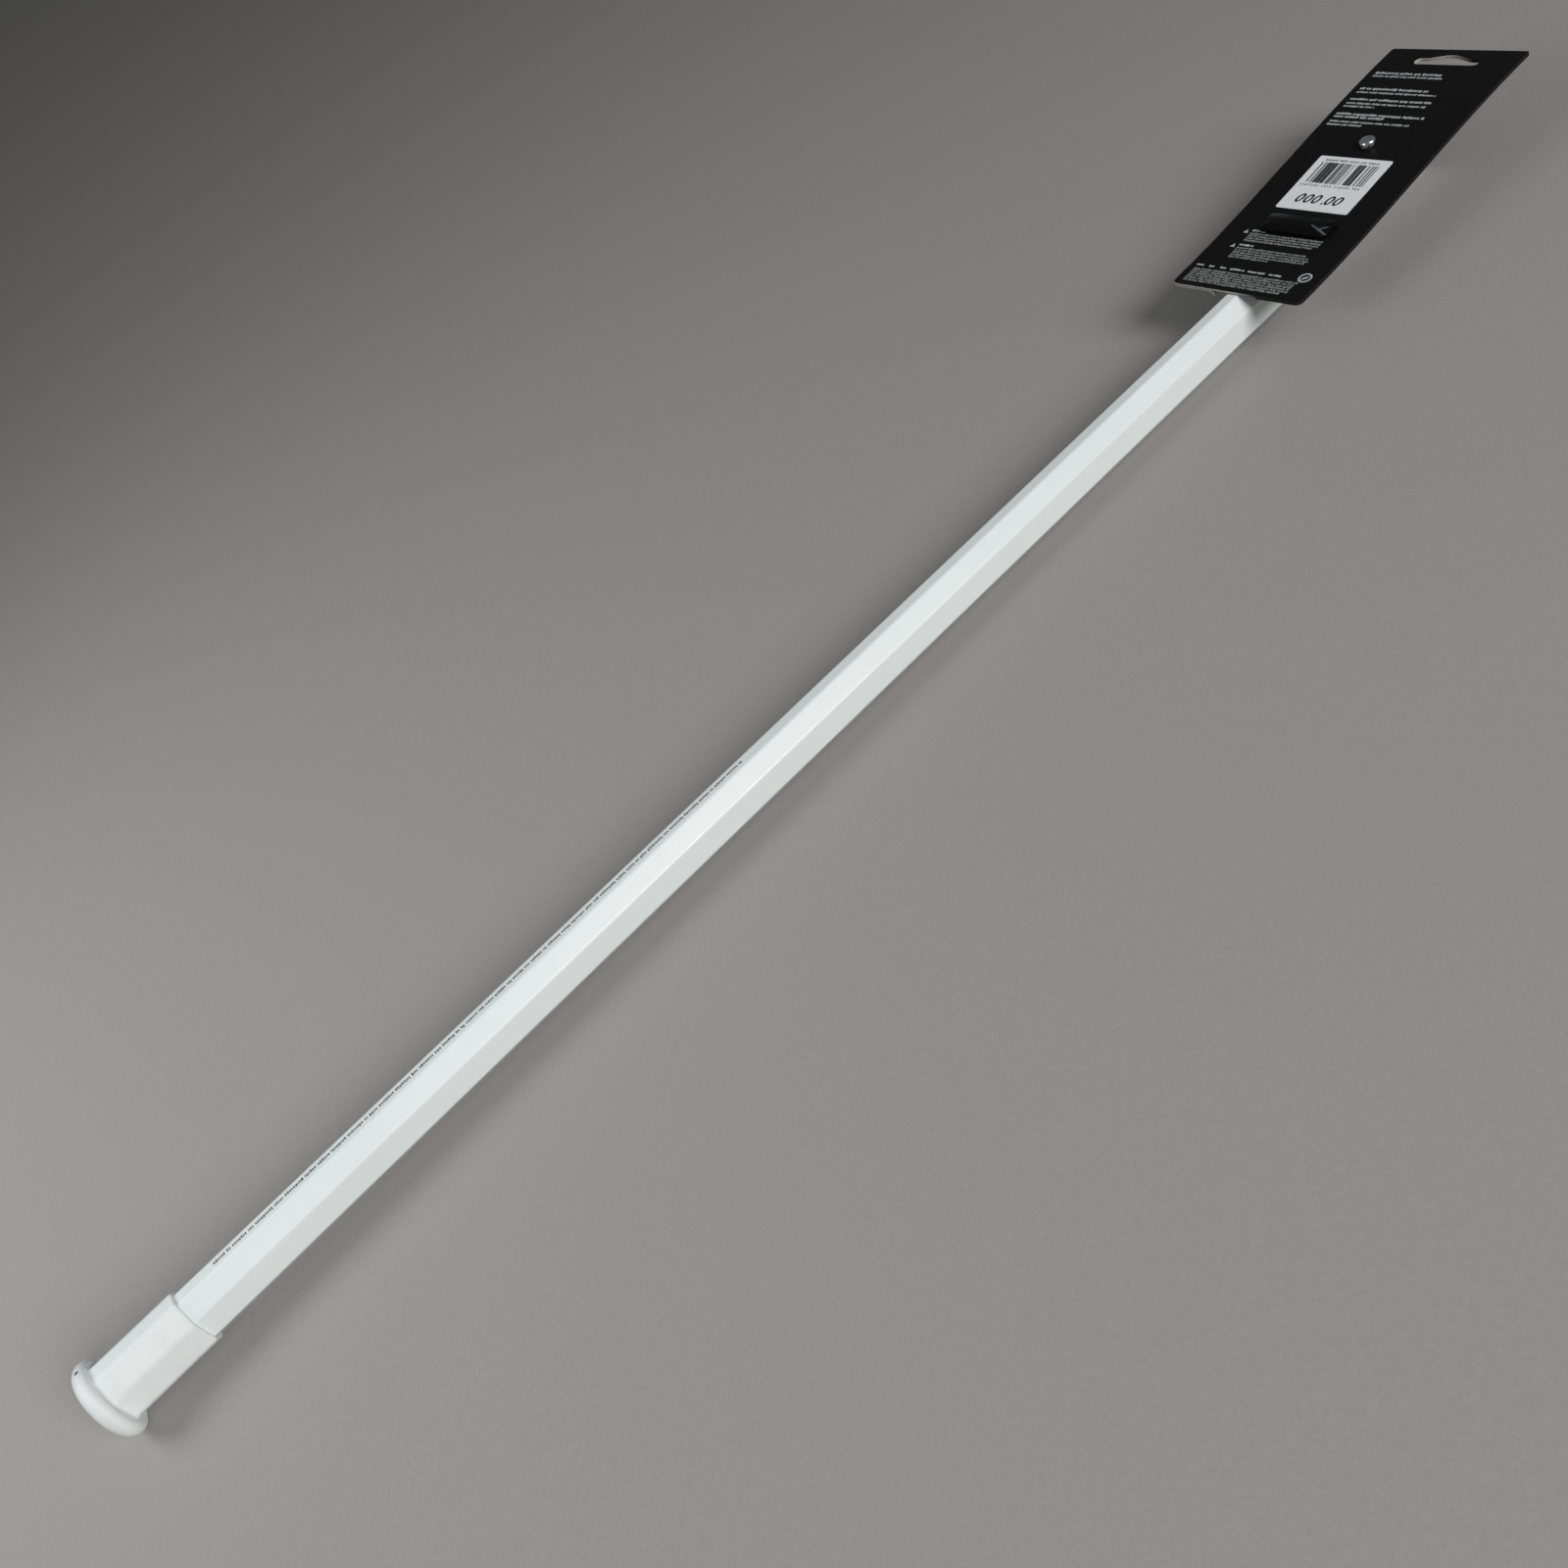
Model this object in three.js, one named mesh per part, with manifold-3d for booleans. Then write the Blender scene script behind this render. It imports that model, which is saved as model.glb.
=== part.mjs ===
// Lacrosse shaft as it is sold: an octagonal aluminium tube with a rubber butt cap, and a two-ply
// header card held near the head end by the head screw. The card carries a price label and a
// slim security tag.
//
// Millimetres, +Z up. The origin is the centre of the butt cap's flat end face, on the axis of
// the tube. +X runs along the tube to the head end, and +Y is to the left when looking along +X.

import * as THREE from 'three';
import { mergeVertices } from 'three/addons/utils/BufferGeometryUtils.js';
import Module from 'manifold-3d';

const wasm = await Module();
wasm.setup();

// ---------------------------------------------------------------- driving dimensions

// The tube: an octagon with a narrow top and bottom face, tall sides and 45 degree corners.
const TUBE_LENGTH = 762;
const TUBE_HALF_WIDTH = 8.7;
const TUBE_HALF_HEIGHT = 11.5;
const TUBE_BEVEL = 6.05;
const TUBE_WALL = 1.3;
const TUBE_CORNER_RADIUS = 1.6;
const TUBE_CORNER_STEPS = 4;
const TUBE_DEBURR = 0.3;

// The butt cap: a mushroom flange with a socket that grips the tube.
const CAP_FLANGE_RADIUS = 16.1;
const CAP_FLANGE_THICKNESS = 6.8;
const CAP_BUTT_ROUND = 4.2;
const CAP_END_WALL = 5.2;
const CAP_LENGTH = 41.4;
const CAP_WALL = 1.2;
const CAP_FIT_GAP = 0.3;
const CAP_FILLET = 1.3;
const CAP_LIP_RADIUS = 0.6;
const CAP_NICK_RADIUS = 0.8;
const CAP_SEGMENTS = 72;

// The head screw: a pan head with a cross recess and a coarse thread.
const SCREW_X = 734;
const SCREW_LENGTH = 25.4;
const SCREW_HEAD_RADIUS = 3.8;
const SCREW_HEAD_HEIGHT = 2.9;
const SCREW_THREAD_RADIUS = 2.4;
const SCREW_ROOT_RADIUS = 1.75;
const SCREW_PITCH = 1.6;
const SCREW_TIP_LENGTH = 3.2;
const SCREW_SEGMENTS = 16;
const SCREW_STEPS_PER_TURN = 4;
const SCREW_HOLE_RADIUS = 2.75;
const RECESS_REACH = 2.1;
const RECESS_WIDTH = 1.05;
const RECESS_DEPTH = 1.7;

// The header card. Its bottom edge stands on the tube and it rises to the hang hole in a
// shallow S, its left side a little higher than its right. Places on the card are measured
// from the screw, +X towards the hang hole.
const CARD_WIDTH = 68.4;
const CARD_BELOW_SCREW = 103.6;
const CARD_ABOVE_SCREW = 71.8;
const CARD_OFFSET_Y = -0.8;
const CARD_RISE = 12.3;
const CARD_BEND = 0.85;
const CARD_TILT = 0.03;
const CARD_FRONT_PLY = 0.9;
const CARD_BACK_PLY = 0.7;
const CARD_GLUE_GAP = 0.12;
const CARD_STAND_OFF = 0.4;
const CARD_STEPS = 36;
const CARD_BOTTOM_RADIUS = 3;
const CARD_TOP_RADIUS = 0.8;
const CARD_SCREW_HOLE_RADIUS = 3.1;
const CARD_SLOT_HALF_WIDTH = 12.4;
const CARD_SLOT_PAST_TUBE = 5;
const CARD_LIP_DROP = 2.4;

// The hang hole: a long slot with round ends and a shallow peak.
const HANG_WIDTH = 32.4;
const HANG_SLOT_HEIGHT = 5;
const HANG_PEAK_HEIGHT = 8;
const HANG_PEAK_HALF_WIDTH = 12.5;
const HANG_BOTTOM = 59.4;

// The price label and the security tag, both stuck on the front of the card.
const LABEL_SIZE_X = 36.2;
const LABEL_SIZE_Y = 37.5;
const LABEL_THICKNESS = 0.16;
const LABEL_CENTRE_X = -27.8;
const LABEL_CENTRE_Y = -0.7;
const LABEL_TURN = THREE.MathUtils.degToRad(-0.4);
const LABEL_CORNER_RADIUS = 1;
const STICK_GAP = 0.12;
const TAG_LENGTH = 35.4;
const TAG_WIDTH = 10.8;
const TAG_HEIGHT = 1.8;
const TAG_SHELL = 0.4;
const TAG_CORNER_RADIUS = 2;
const TAG_CENTRE_X = -57.2;
const TAG_CENTRE_Y = -2.2;
const TAG_PAD_THICKNESS = 0.2;
const TAG_STRIP_THICKNESS = 0.12;
const TAG_STRIP_WIDTH = 6;
const TAG_STRIP_PITCH = 0.3;
const TAG_STRIP_COUNT = 2;

// Places that follow from the dimensions above.
const TUBE_START = CAP_END_WALL + CAP_FIT_GAP;
const TUBE_END = TUBE_START + TUBE_LENGTH;
const CARD_LENGTH = CARD_BELOW_SCREW + CARD_ABOVE_SCREW;
const CARD_FACE = CARD_FRONT_PLY + STICK_GAP;
const SCREW_SEAT_Z = cardHeight(SCREW_HEAD_RADIUS, SCREW_HEAD_RADIUS) + CARD_FRONT_PLY;

// Height of the front ply's lower face at (x, y), measured from the screw.
function cardHeight(x, y) {
  const along = (x + CARD_BELOW_SCREW) / CARD_LENGTH;
  const curve = THREE.MathUtils.lerp(along, THREE.MathUtils.smoothstep(along, 0, 1), CARD_BEND);
  return TUBE_HALF_HEIGHT + CARD_STAND_OFF + CARD_RISE * curve + CARD_TILT * y;
}

// ---------------------------------------------------------------- solids and booleans

function toSolid(geometry) {
  const bare = geometry.clone();
  bare.deleteAttribute('normal');
  bare.deleteAttribute('uv');
  const merged = mergeVertices(bare, 1e-4);
  return new wasm.Manifold(new wasm.Mesh({
    numProp: 3,
    vertProperties: new Float32Array(merged.attributes.position.array),
    triVerts: new Uint32Array(merged.index.array),
  }));
}

function toGeometry(solid) {
  const mesh = solid.getMesh();
  const geometry = new THREE.BufferGeometry();
  geometry.setAttribute('position', new THREE.BufferAttribute(new Float32Array(mesh.vertProperties), 3));
  geometry.setIndex(new THREE.BufferAttribute(new Uint32Array(mesh.triVerts), 1));
  geometry.computeVertexNormals();
  return geometry;
}

// Turns a flat XY outline extruded along Z so that the outline lies in YZ and runs along X.
function alongTube(geometry, startX) {
  const turn = new THREE.Matrix4().makeBasis(
    new THREE.Vector3(0, 1, 0),
    new THREE.Vector3(0, 0, 1),
    new THREE.Vector3(1, 0, 0),
  );
  turn.setPosition(startX, 0, 0);
  return geometry.applyMatrix4(turn);
}

function plate(shape, thickness, bottomZ) {
  const options = { depth: thickness, bevelEnabled: false, curveSegments: 8 };
  return new THREE.ExtrudeGeometry(shape, options).translate(0, 0, bottomZ);
}

// The tube's octagon, grown outwards by `offset`, as a ring of points (y, z) with round corners.
function octagonRing(offset) {
  const halfWidth = TUBE_HALF_WIDTH + offset;
  const halfHeight = TUBE_HALF_HEIGHT + offset;
  const bevel = TUBE_BEVEL + offset * (2 - Math.SQRT2);
  const radius = Math.max(TUBE_CORNER_RADIUS + offset, 0.3);
  const corners = [];
  for (const [signY, signZ] of [[1, 1], [-1, 1], [-1, -1], [1, -1]]) {
    const side = [signY * halfWidth, signZ * (halfHeight - bevel)];
    const flat = [signY * (halfWidth - bevel), signZ * halfHeight];
    corners.push(...(signY * signZ > 0 ? [side, flat] : [flat, side]));
  }
  const points = [];
  corners.forEach((corner, i) => {
    const here = new THREE.Vector2(...corner);
    const before = new THREE.Vector2(...corners.at(i - 1)).sub(here).normalize();
    const after = new THREE.Vector2(...corners[(i + 1) % corners.length]).sub(here).normalize();
    const halfAngle = Math.acos(THREE.MathUtils.clamp(before.dot(after), -1, 1)) / 2;
    const inward = before.clone().add(after).normalize();
    const centre = here.clone().addScaledVector(inward, radius / Math.sin(halfAngle));
    const from = here.clone().addScaledVector(before, radius / Math.tan(halfAngle)).sub(centre);
    const turn = Math.PI - 2 * halfAngle;
    for (let step = 0; step <= TUBE_CORNER_STEPS; step += 1) {
      const spoke = from.clone().rotateAround(new THREE.Vector2(), turn * step / TUBE_CORNER_STEPS);
      points.push(centre.clone().add(spoke));
    }
  });
  return points;
}

// A closed solid skinned over octagon rings; each station is [x, offset].
function octagonLoft(stations) {
  const rings = stations.map(([x, offset]) => octagonRing(offset).map((p) => [x, p.x, p.y]));
  const count = rings[0].length;
  const positions = rings.flat(2);
  const index = [];
  for (let ring = 0; ring < rings.length - 1; ring += 1) {
    for (let i = 0; i < count; i += 1) {
      const a = ring * count + i;
      const b = ring * count + (i + 1) % count;
      index.push(a, b, b + count, a, b + count, a + count);
    }
  }
  const last = (rings.length - 1) * count;
  for (let i = 1; i < count - 1; i += 1) {
    index.push(0, i + 1, i);
    index.push(last, last + i, last + i + 1);
  }
  const geometry = new THREE.BufferGeometry();
  geometry.setAttribute('position', new THREE.Float32BufferAttribute(positions, 3));
  geometry.setIndex(index);
  return geometry;
}

// ---------------------------------------------------------------- tube

function tubeGeometry() {
  const outer = toSolid(octagonLoft([
    [TUBE_START, -TUBE_DEBURR],
    [TUBE_START + TUBE_DEBURR, 0],
    [TUBE_END - TUBE_DEBURR, 0],
    [TUBE_END, -TUBE_DEBURR],
  ]));
  const bore = toSolid(octagonLoft([[TUBE_START - 1, -TUBE_WALL], [TUBE_END + 1, -TUBE_WALL]]));
  const drill = new THREE.CylinderGeometry(SCREW_HOLE_RADIUS, SCREW_HOLE_RADIUS, TUBE_HALF_HEIGHT, 32);
  drill.rotateX(Math.PI / 2);
  drill.translate(SCREW_X, 0, TUBE_HALF_HEIGHT);
  return toGeometry(outer.subtract(bore).subtract(toSolid(drill)));
}

// ---------------------------------------------------------------- butt cap

// The flange is a flat disc turned about the tube's axis. Its rim is rounder on the butt's side.
function flangeGeometry() {
  const radius = CAP_FLANGE_RADIUS;
  const butt = CAP_BUTT_ROUND;
  const inner = CAP_FLANGE_THICKNESS - butt;
  const quarterArc = 0.5523;
  const pull = 1 - quarterArc;
  const rim = new THREE.Path();
  rim.moveTo(0, 0);
  rim.lineTo(radius - butt, 0);
  rim.bezierCurveTo(radius - butt * pull, 0, radius, butt * pull, radius, butt);
  rim.bezierCurveTo(
    radius,
    butt + inner * quarterArc,
    radius - inner * pull,
    CAP_FLANGE_THICKNESS,
    radius - inner,
    CAP_FLANGE_THICKNESS,
  );
  rim.lineTo(0, CAP_FLANGE_THICKNESS);
  const lathe = new THREE.LatheGeometry(rim.getPoints(12), CAP_SEGMENTS);
  return lathe.rotateZ(-Math.PI / 2);
}

function capGeometry() {
  const outerOffset = CAP_FIT_GAP + CAP_WALL;
  const stations = [[CAP_FLANGE_THICKNESS / 2, outerOffset + CAP_FILLET]];
  const quarter = 5;
  for (let step = 0; step <= quarter; step += 1) {
    const angle = step / quarter * Math.PI / 2;
    stations.push([
      CAP_FLANGE_THICKNESS + CAP_FILLET * (1 - Math.cos(angle)),
      outerOffset + CAP_FILLET * (1 - Math.sin(angle)),
    ]);
  }
  for (let step = 0; step <= quarter; step += 1) {
    const angle = step / quarter * Math.PI / 2;
    stations.push([
      CAP_LENGTH - CAP_LIP_RADIUS * (1 - Math.sin(angle)),
      outerOffset - CAP_LIP_RADIUS * (1 - Math.cos(angle)),
    ]);
  }
  const socket = octagonLoft([[CAP_END_WALL, CAP_FIT_GAP], [CAP_LENGTH + 1, CAP_FIT_GAP]]);
  const nick = new THREE.SphereGeometry(CAP_NICK_RADIUS, 16, 10);
  nick.translate(CAP_FLANGE_THICKNESS * 0.62, CAP_FLANGE_RADIUS * 0.2, CAP_FLANGE_RADIUS * 0.97);
  return toGeometry(toSolid(flangeGeometry())
    .add(toSolid(octagonLoft(stations)))
    .subtract(toSolid(socket))
    .subtract(toSolid(nick)));
}

// ---------------------------------------------------------------- head screw

// The shank is a cylinder whose radius follows a helix: a crest once in every pitch.
function shankGeometry() {
  const rows = Math.round(SCREW_LENGTH / SCREW_PITCH * SCREW_STEPS_PER_TURN);
  const depth = SCREW_THREAD_RADIUS - SCREW_ROOT_RADIUS;
  const positions = [];
  const index = [];
  for (let row = 0; row <= rows; row += 1) {
    const down = row / rows * SCREW_LENGTH;
    const tip = THREE.MathUtils.clamp((SCREW_LENGTH - down) / SCREW_TIP_LENGTH, 0.22, 1);
    for (let i = 0; i < SCREW_SEGMENTS; i += 1) {
      const turn = i / SCREW_SEGMENTS;
      const phase = ((down / SCREW_PITCH + turn) % 1 + 1) % 1;
      const crest = Math.max(0, 1 - 2.6 * Math.abs(phase - 0.5));
      const radius = (SCREW_ROOT_RADIUS + depth * crest) * tip;
      const angle = turn * 2 * Math.PI;
      positions.push(radius * Math.cos(angle), radius * Math.sin(angle), -down);
    }
  }
  for (let row = 0; row < rows; row += 1) {
    for (let i = 0; i < SCREW_SEGMENTS; i += 1) {
      const a = row * SCREW_SEGMENTS + i;
      const b = row * SCREW_SEGMENTS + (i + 1) % SCREW_SEGMENTS;
      index.push(a, a + SCREW_SEGMENTS, b + SCREW_SEGMENTS, a, b + SCREW_SEGMENTS, b);
    }
  }
  const top = positions.length / 3;
  positions.push(0, 0, 0, 0, 0, -SCREW_LENGTH);
  const lastRow = rows * SCREW_SEGMENTS;
  for (let i = 0; i < SCREW_SEGMENTS; i += 1) {
    const next = (i + 1) % SCREW_SEGMENTS;
    index.push(top, i, next);
    index.push(top + 1, lastRow + next, lastRow + i);
  }
  const geometry = new THREE.BufferGeometry();
  geometry.setAttribute('position', new THREE.Float32BufferAttribute(positions, 3));
  geometry.setIndex(index);
  return geometry;
}

function screwGeometry() {
  const radius = SCREW_HEAD_RADIUS;
  const height = SCREW_HEAD_HEIGHT;
  const head = new THREE.Path();
  head.moveTo(0, -0.2);
  head.lineTo(radius * 0.5, -0.2);
  head.lineTo(radius * 0.55, 0);
  head.lineTo(radius - 0.3, 0);
  head.quadraticCurveTo(radius, 0, radius, 0.5);
  head.quadraticCurveTo(radius, height * 0.75, radius * 0.62, height * 0.93);
  head.quadraticCurveTo(radius * 0.35, height, 0, height);
  const pan = new THREE.LatheGeometry(head.getPoints(6), 40).rotateX(Math.PI / 2);
  let solid = toSolid(pan).add(toSolid(shankGeometry()));
  for (const turn of [0, Math.PI / 2]) {
    const arm = new THREE.CylinderGeometry(RECESS_REACH, RECESS_REACH * 0.45, RECESS_DEPTH + 1, 4, 1);
    arm.rotateY(Math.PI / 4);
    arm.rotateX(Math.PI / 2);
    arm.scale(1, RECESS_WIDTH / (RECESS_REACH * Math.SQRT2), 1);
    arm.translate(0, 0, height - RECESS_DEPTH + (RECESS_DEPTH + 1) / 2);
    arm.rotateZ(turn + Math.PI / 5);
    solid = solid.subtract(toSolid(arm));
  }
  return toGeometry(solid);
}

// ---------------------------------------------------------------- header card

// Outline of the card, x along the card from the screw, with an open slot if slotEndX is given.
function cardOutline(slotEndX) {
  const left = CARD_OFFSET_Y + CARD_WIDTH / 2;
  const right = CARD_OFFSET_Y - CARD_WIDTH / 2;
  const bottom = -CARD_BELOW_SCREW;
  const top = CARD_ABOVE_SCREW;
  const lowRound = CARD_BOTTOM_RADIUS;
  const highRound = CARD_TOP_RADIUS;
  const shape = new THREE.Shape();
  shape.moveTo(bottom + lowRound, right);
  shape.lineTo(top - highRound, right);
  shape.absarc(top - highRound, right + highRound, highRound, -Math.PI / 2, 0, false);
  shape.lineTo(top, left - highRound);
  shape.absarc(top - highRound, left - highRound, highRound, 0, Math.PI / 2, false);
  shape.lineTo(bottom + lowRound, left);
  shape.absarc(bottom + lowRound, left - lowRound, lowRound, Math.PI / 2, Math.PI, false);
  if (slotEndX !== undefined) {
    shape.lineTo(bottom, CARD_SLOT_HALF_WIDTH);
    shape.lineTo(slotEndX - CARD_SLOT_HALF_WIDTH, CARD_SLOT_HALF_WIDTH);
    shape.absarc(slotEndX - CARD_SLOT_HALF_WIDTH, 0, CARD_SLOT_HALF_WIDTH, Math.PI / 2, -Math.PI / 2, true);
    shape.lineTo(bottom, -CARD_SLOT_HALF_WIDTH);
  }
  shape.lineTo(bottom, right + lowRound);
  shape.absarc(bottom + lowRound, right + lowRound, lowRound, Math.PI, 1.5 * Math.PI, false);
  return shape;
}

function hangHole() {
  const radius = HANG_SLOT_HEIGHT / 2;
  const middleX = HANG_BOTTOM + radius;
  const reach = HANG_WIDTH / 2 - radius;
  const peakX = HANG_BOTTOM + HANG_PEAK_HEIGHT;
  const topX = HANG_BOTTOM + HANG_SLOT_HEIGHT;
  const flank = HANG_PEAK_HALF_WIDTH;
  const y = (across) => CARD_OFFSET_Y + across;
  const hole = new THREE.Path();
  hole.moveTo(HANG_BOTTOM, y(reach));
  hole.lineTo(HANG_BOTTOM, y(-reach));
  hole.absarc(middleX, y(-reach), radius, Math.PI, 2 * Math.PI, false);
  hole.lineTo(topX, y(-flank));
  hole.bezierCurveTo(topX, y(-flank * 0.6), peakX, y(-flank * 0.6), peakX, y(0));
  hole.bezierCurveTo(peakX, y(flank * 0.6), topX, y(flank * 0.6), topX, y(flank));
  hole.lineTo(topX, y(reach));
  hole.absarc(middleX, y(reach), radius, 0, Math.PI, false);
  return hole;
}

// Lifts every point of a flat piece by the card's height there, so that it follows the card.
function followCard(geometry) {
  const position = geometry.attributes.position;
  for (let i = 0; i < position.count; i += 1) {
    position.setZ(i, position.getZ(i) + cardHeight(position.getX(i), position.getY(i)));
  }
  return geometry;
}

// A sheet of the given outline that follows the card, from `low` to `high` above its datum.
function bentSheet(shape, low, high) {
  const section = new THREE.Shape();
  section.moveTo(-CARD_WIDTH, low);
  section.lineTo(CARD_WIDTH, low);
  section.lineTo(CARD_WIDTH, high);
  section.lineTo(-CARD_WIDTH, high);
  const options = { depth: CARD_LENGTH, steps: CARD_STEPS, bevelEnabled: false };
  const strip = new THREE.ExtrudeGeometry(section, options);
  const tall = plate(shape, 4 * CARD_WIDTH, -2 * CARD_WIDTH);
  return toSolid(followCard(alongTube(strip, -CARD_BELOW_SCREW))).intersect(toSolid(tall));
}

function frontPlyGeometry() {
  const shape = cardOutline();
  const screwHole = new THREE.Path();
  screwHole.absarc(0, 0, CARD_SCREW_HOLE_RADIUS, 0, 2 * Math.PI, true);
  shape.holes.push(hangHole(), screwHole);
  return toGeometry(bentSheet(shape, 0, CARD_FRONT_PLY));
}

// The back ply is open where the tube lies, and the left edge of that slot is curled down.
function backPlyGeometry() {
  const slotEnd = TUBE_END - SCREW_X + CARD_SLOT_PAST_TUBE;
  const shape = cardOutline(slotEnd);
  shape.holes.push(hangHole());
  const sheetTop = -CARD_GLUE_GAP;
  const sheet = bentSheet(shape, sheetTop - CARD_BACK_PLY, sheetTop);
  const bend = new THREE.Shape();
  const inner = CARD_LIP_DROP - CARD_BACK_PLY;
  bend.moveTo(CARD_SLOT_HALF_WIDTH + 0.5, sheetTop);
  bend.lineTo(CARD_SLOT_HALF_WIDTH, sheetTop);
  bend.absarc(CARD_SLOT_HALF_WIDTH, sheetTop - CARD_LIP_DROP, CARD_LIP_DROP, Math.PI / 2, Math.PI, false);
  bend.lineTo(CARD_SLOT_HALF_WIDTH - inner, sheetTop - CARD_LIP_DROP);
  bend.absarc(CARD_SLOT_HALF_WIDTH, sheetTop - CARD_LIP_DROP, inner, Math.PI, Math.PI / 2, true);
  bend.lineTo(CARD_SLOT_HALF_WIDTH + 0.5, sheetTop - CARD_BACK_PLY);
  const lipLength = slotEnd - CARD_SLOT_HALF_WIDTH + CARD_BELOW_SCREW;
  const lip = new THREE.ExtrudeGeometry(bend, {
    depth: lipLength,
    steps: CARD_STEPS,
    bevelEnabled: false,
    curveSegments: 6,
  });
  return toGeometry(sheet.add(toSolid(followCard(alongTube(lip, -CARD_BELOW_SCREW)))));
}

// ---------------------------------------------------------------- label and security tag

function roundedRectangle(sizeX, sizeY, radius) {
  const shape = new THREE.Shape();
  const endX = sizeX / 2 - radius;
  const endY = sizeY / 2 - radius;
  shape.absarc(endX, endY, radius, 0, Math.PI / 2, false);
  shape.absarc(-endX, endY, radius, Math.PI / 2, Math.PI, false);
  shape.absarc(-endX, -endY, radius, Math.PI, 1.5 * Math.PI, false);
  shape.absarc(endX, -endY, radius, 1.5 * Math.PI, 2 * Math.PI, false);
  shape.closePath();
  return shape;
}

function labelGeometry() {
  const flat = roundedRectangle(LABEL_SIZE_X, LABEL_SIZE_Y, LABEL_CORNER_RADIUS);
  const place = new THREE.Vector2(LABEL_CENTRE_X, LABEL_CENTRE_Y);
  const corners = flat.getPoints(6).map((p) => p.rotateAround(new THREE.Vector2(), LABEL_TURN).add(place));
  return toGeometry(bentSheet(new THREE.Shape(corners), CARD_FACE, CARD_FACE + LABEL_THICKNESS));
}

// The tag's housing is a shallow tray, open downwards, with a rounded upper edge.
function tagHousingGeometry() {
  const round = 0.5;
  const width = TAG_WIDTH - 2 * round;
  const length = TAG_LENGTH - 2 * round;
  const outline = roundedRectangle(width, length, TAG_CORNER_RADIUS - round);
  const outer = new THREE.ExtrudeGeometry(outline, {
    depth: TAG_HEIGHT,
    bevelEnabled: true,
    bevelSize: round,
    bevelThickness: round,
    bevelSegments: 3,
    curveSegments: 6,
  });
  outer.translate(0, 0, -round);
  const floor = new THREE.BoxGeometry(TAG_WIDTH * 2, TAG_LENGTH * 2, 2).translate(0, 0, -1);
  const hollow = plate(
    roundedRectangle(width - 2 * TAG_SHELL, length - 2 * TAG_SHELL, TAG_CORNER_RADIUS / 2),
    TAG_HEIGHT - TAG_SHELL + 1,
    -1,
  );
  return toGeometry(toSolid(outer).subtract(toSolid(floor)).subtract(toSolid(hollow)));
}

// ---------------------------------------------------------------- assembly

function material(color, roughness, metalness = 0) {
  return new THREE.MeshStandardMaterial({ color, roughness, metalness });
}

function part(name, geometry, finish) {
  const mesh = new THREE.Mesh(geometry, finish);
  mesh.name = name;
  return mesh;
}

const group = new THREE.Group();
group.add(part('shaft_tube', tubeGeometry(), material(0xe4e8e8, 0.3)));
group.add(part('butt_cap', capGeometry(), material(0xe2e4e2, 0.6)));

const screw = part('head_screw', screwGeometry(), material(0xc9ccd0, 0.25, 1));
screw.position.set(SCREW_X, 0, SCREW_SEAT_Z);
group.add(screw);

// Everything on the card is placed from the screw and follows the card's curve.
const card = new THREE.Group();
card.position.x = SCREW_X;
group.add(card);
card.add(part('header_front_ply', frontPlyGeometry(), material(0x1c1c1e, 0.45)));
card.add(part('header_back_ply', backPlyGeometry(), material(0x252527, 0.6)));
card.add(part('price_label', labelGeometry(), material(0xf2f2f0, 0.6)));

// The tag is stiff, so it stands straight on the card at the slope of its own middle.
const tagLow = cardHeight(TAG_CENTRE_X - TAG_WIDTH / 2, TAG_CENTRE_Y);
const tagHigh = cardHeight(TAG_CENTRE_X + TAG_WIDTH / 2, TAG_CENTRE_Y);
const tag = new THREE.Group();
tag.position.set(TAG_CENTRE_X, TAG_CENTRE_Y, (tagLow + tagHigh) / 2 + CARD_FACE);
tag.rotation.set(Math.atan(CARD_TILT), -Math.atan2(tagHigh - tagLow, TAG_WIDTH), 0);
card.add(tag);
const padShape = roundedRectangle(TAG_WIDTH, TAG_LENGTH, TAG_CORNER_RADIUS);
tag.add(part('tag_adhesive_pad', plate(padShape, TAG_PAD_THICKNESS, 0), material(0x303032, 0.8)));
const housing = part('tag_housing', tagHousingGeometry(), material(0x141416, 0.2));
housing.position.z = TAG_PAD_THICKNESS + STICK_GAP;
tag.add(housing);

const stripShape = roundedRectangle(TAG_STRIP_WIDTH, TAG_LENGTH - 4, 0.3);
const stripStart = TAG_PAD_THICKNESS + 2 * STICK_GAP;
const magnet = plate(stripShape, TAG_STRIP_THICKNESS, stripStart);
tag.add(part('tag_bias_magnet', magnet, material(0x6b6b6b, 0.4, 1)));
for (let i = 1; i <= TAG_STRIP_COUNT; i += 1) {
  const strip = plate(stripShape, TAG_STRIP_THICKNESS, stripStart + i * TAG_STRIP_PITCH);
  tag.add(part(`tag_resonator_${i}`, strip, material(0xb8babc, 0.25, 1)));
}

export default group;
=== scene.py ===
"""Looks of a white octagonal lacrosse shaft with its butt cap, head screw and black header card.

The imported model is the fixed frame: +X runs from the butt to the head end, +Y is left, +Z is up.
Every piece is built in millimetres in that frame and is scaled to metres when it is settled.
"""

import math
import random

import bmesh
import bpy
from mathutils import Matrix, Vector
from mathutils.geometry import tessellate_polygon


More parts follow.
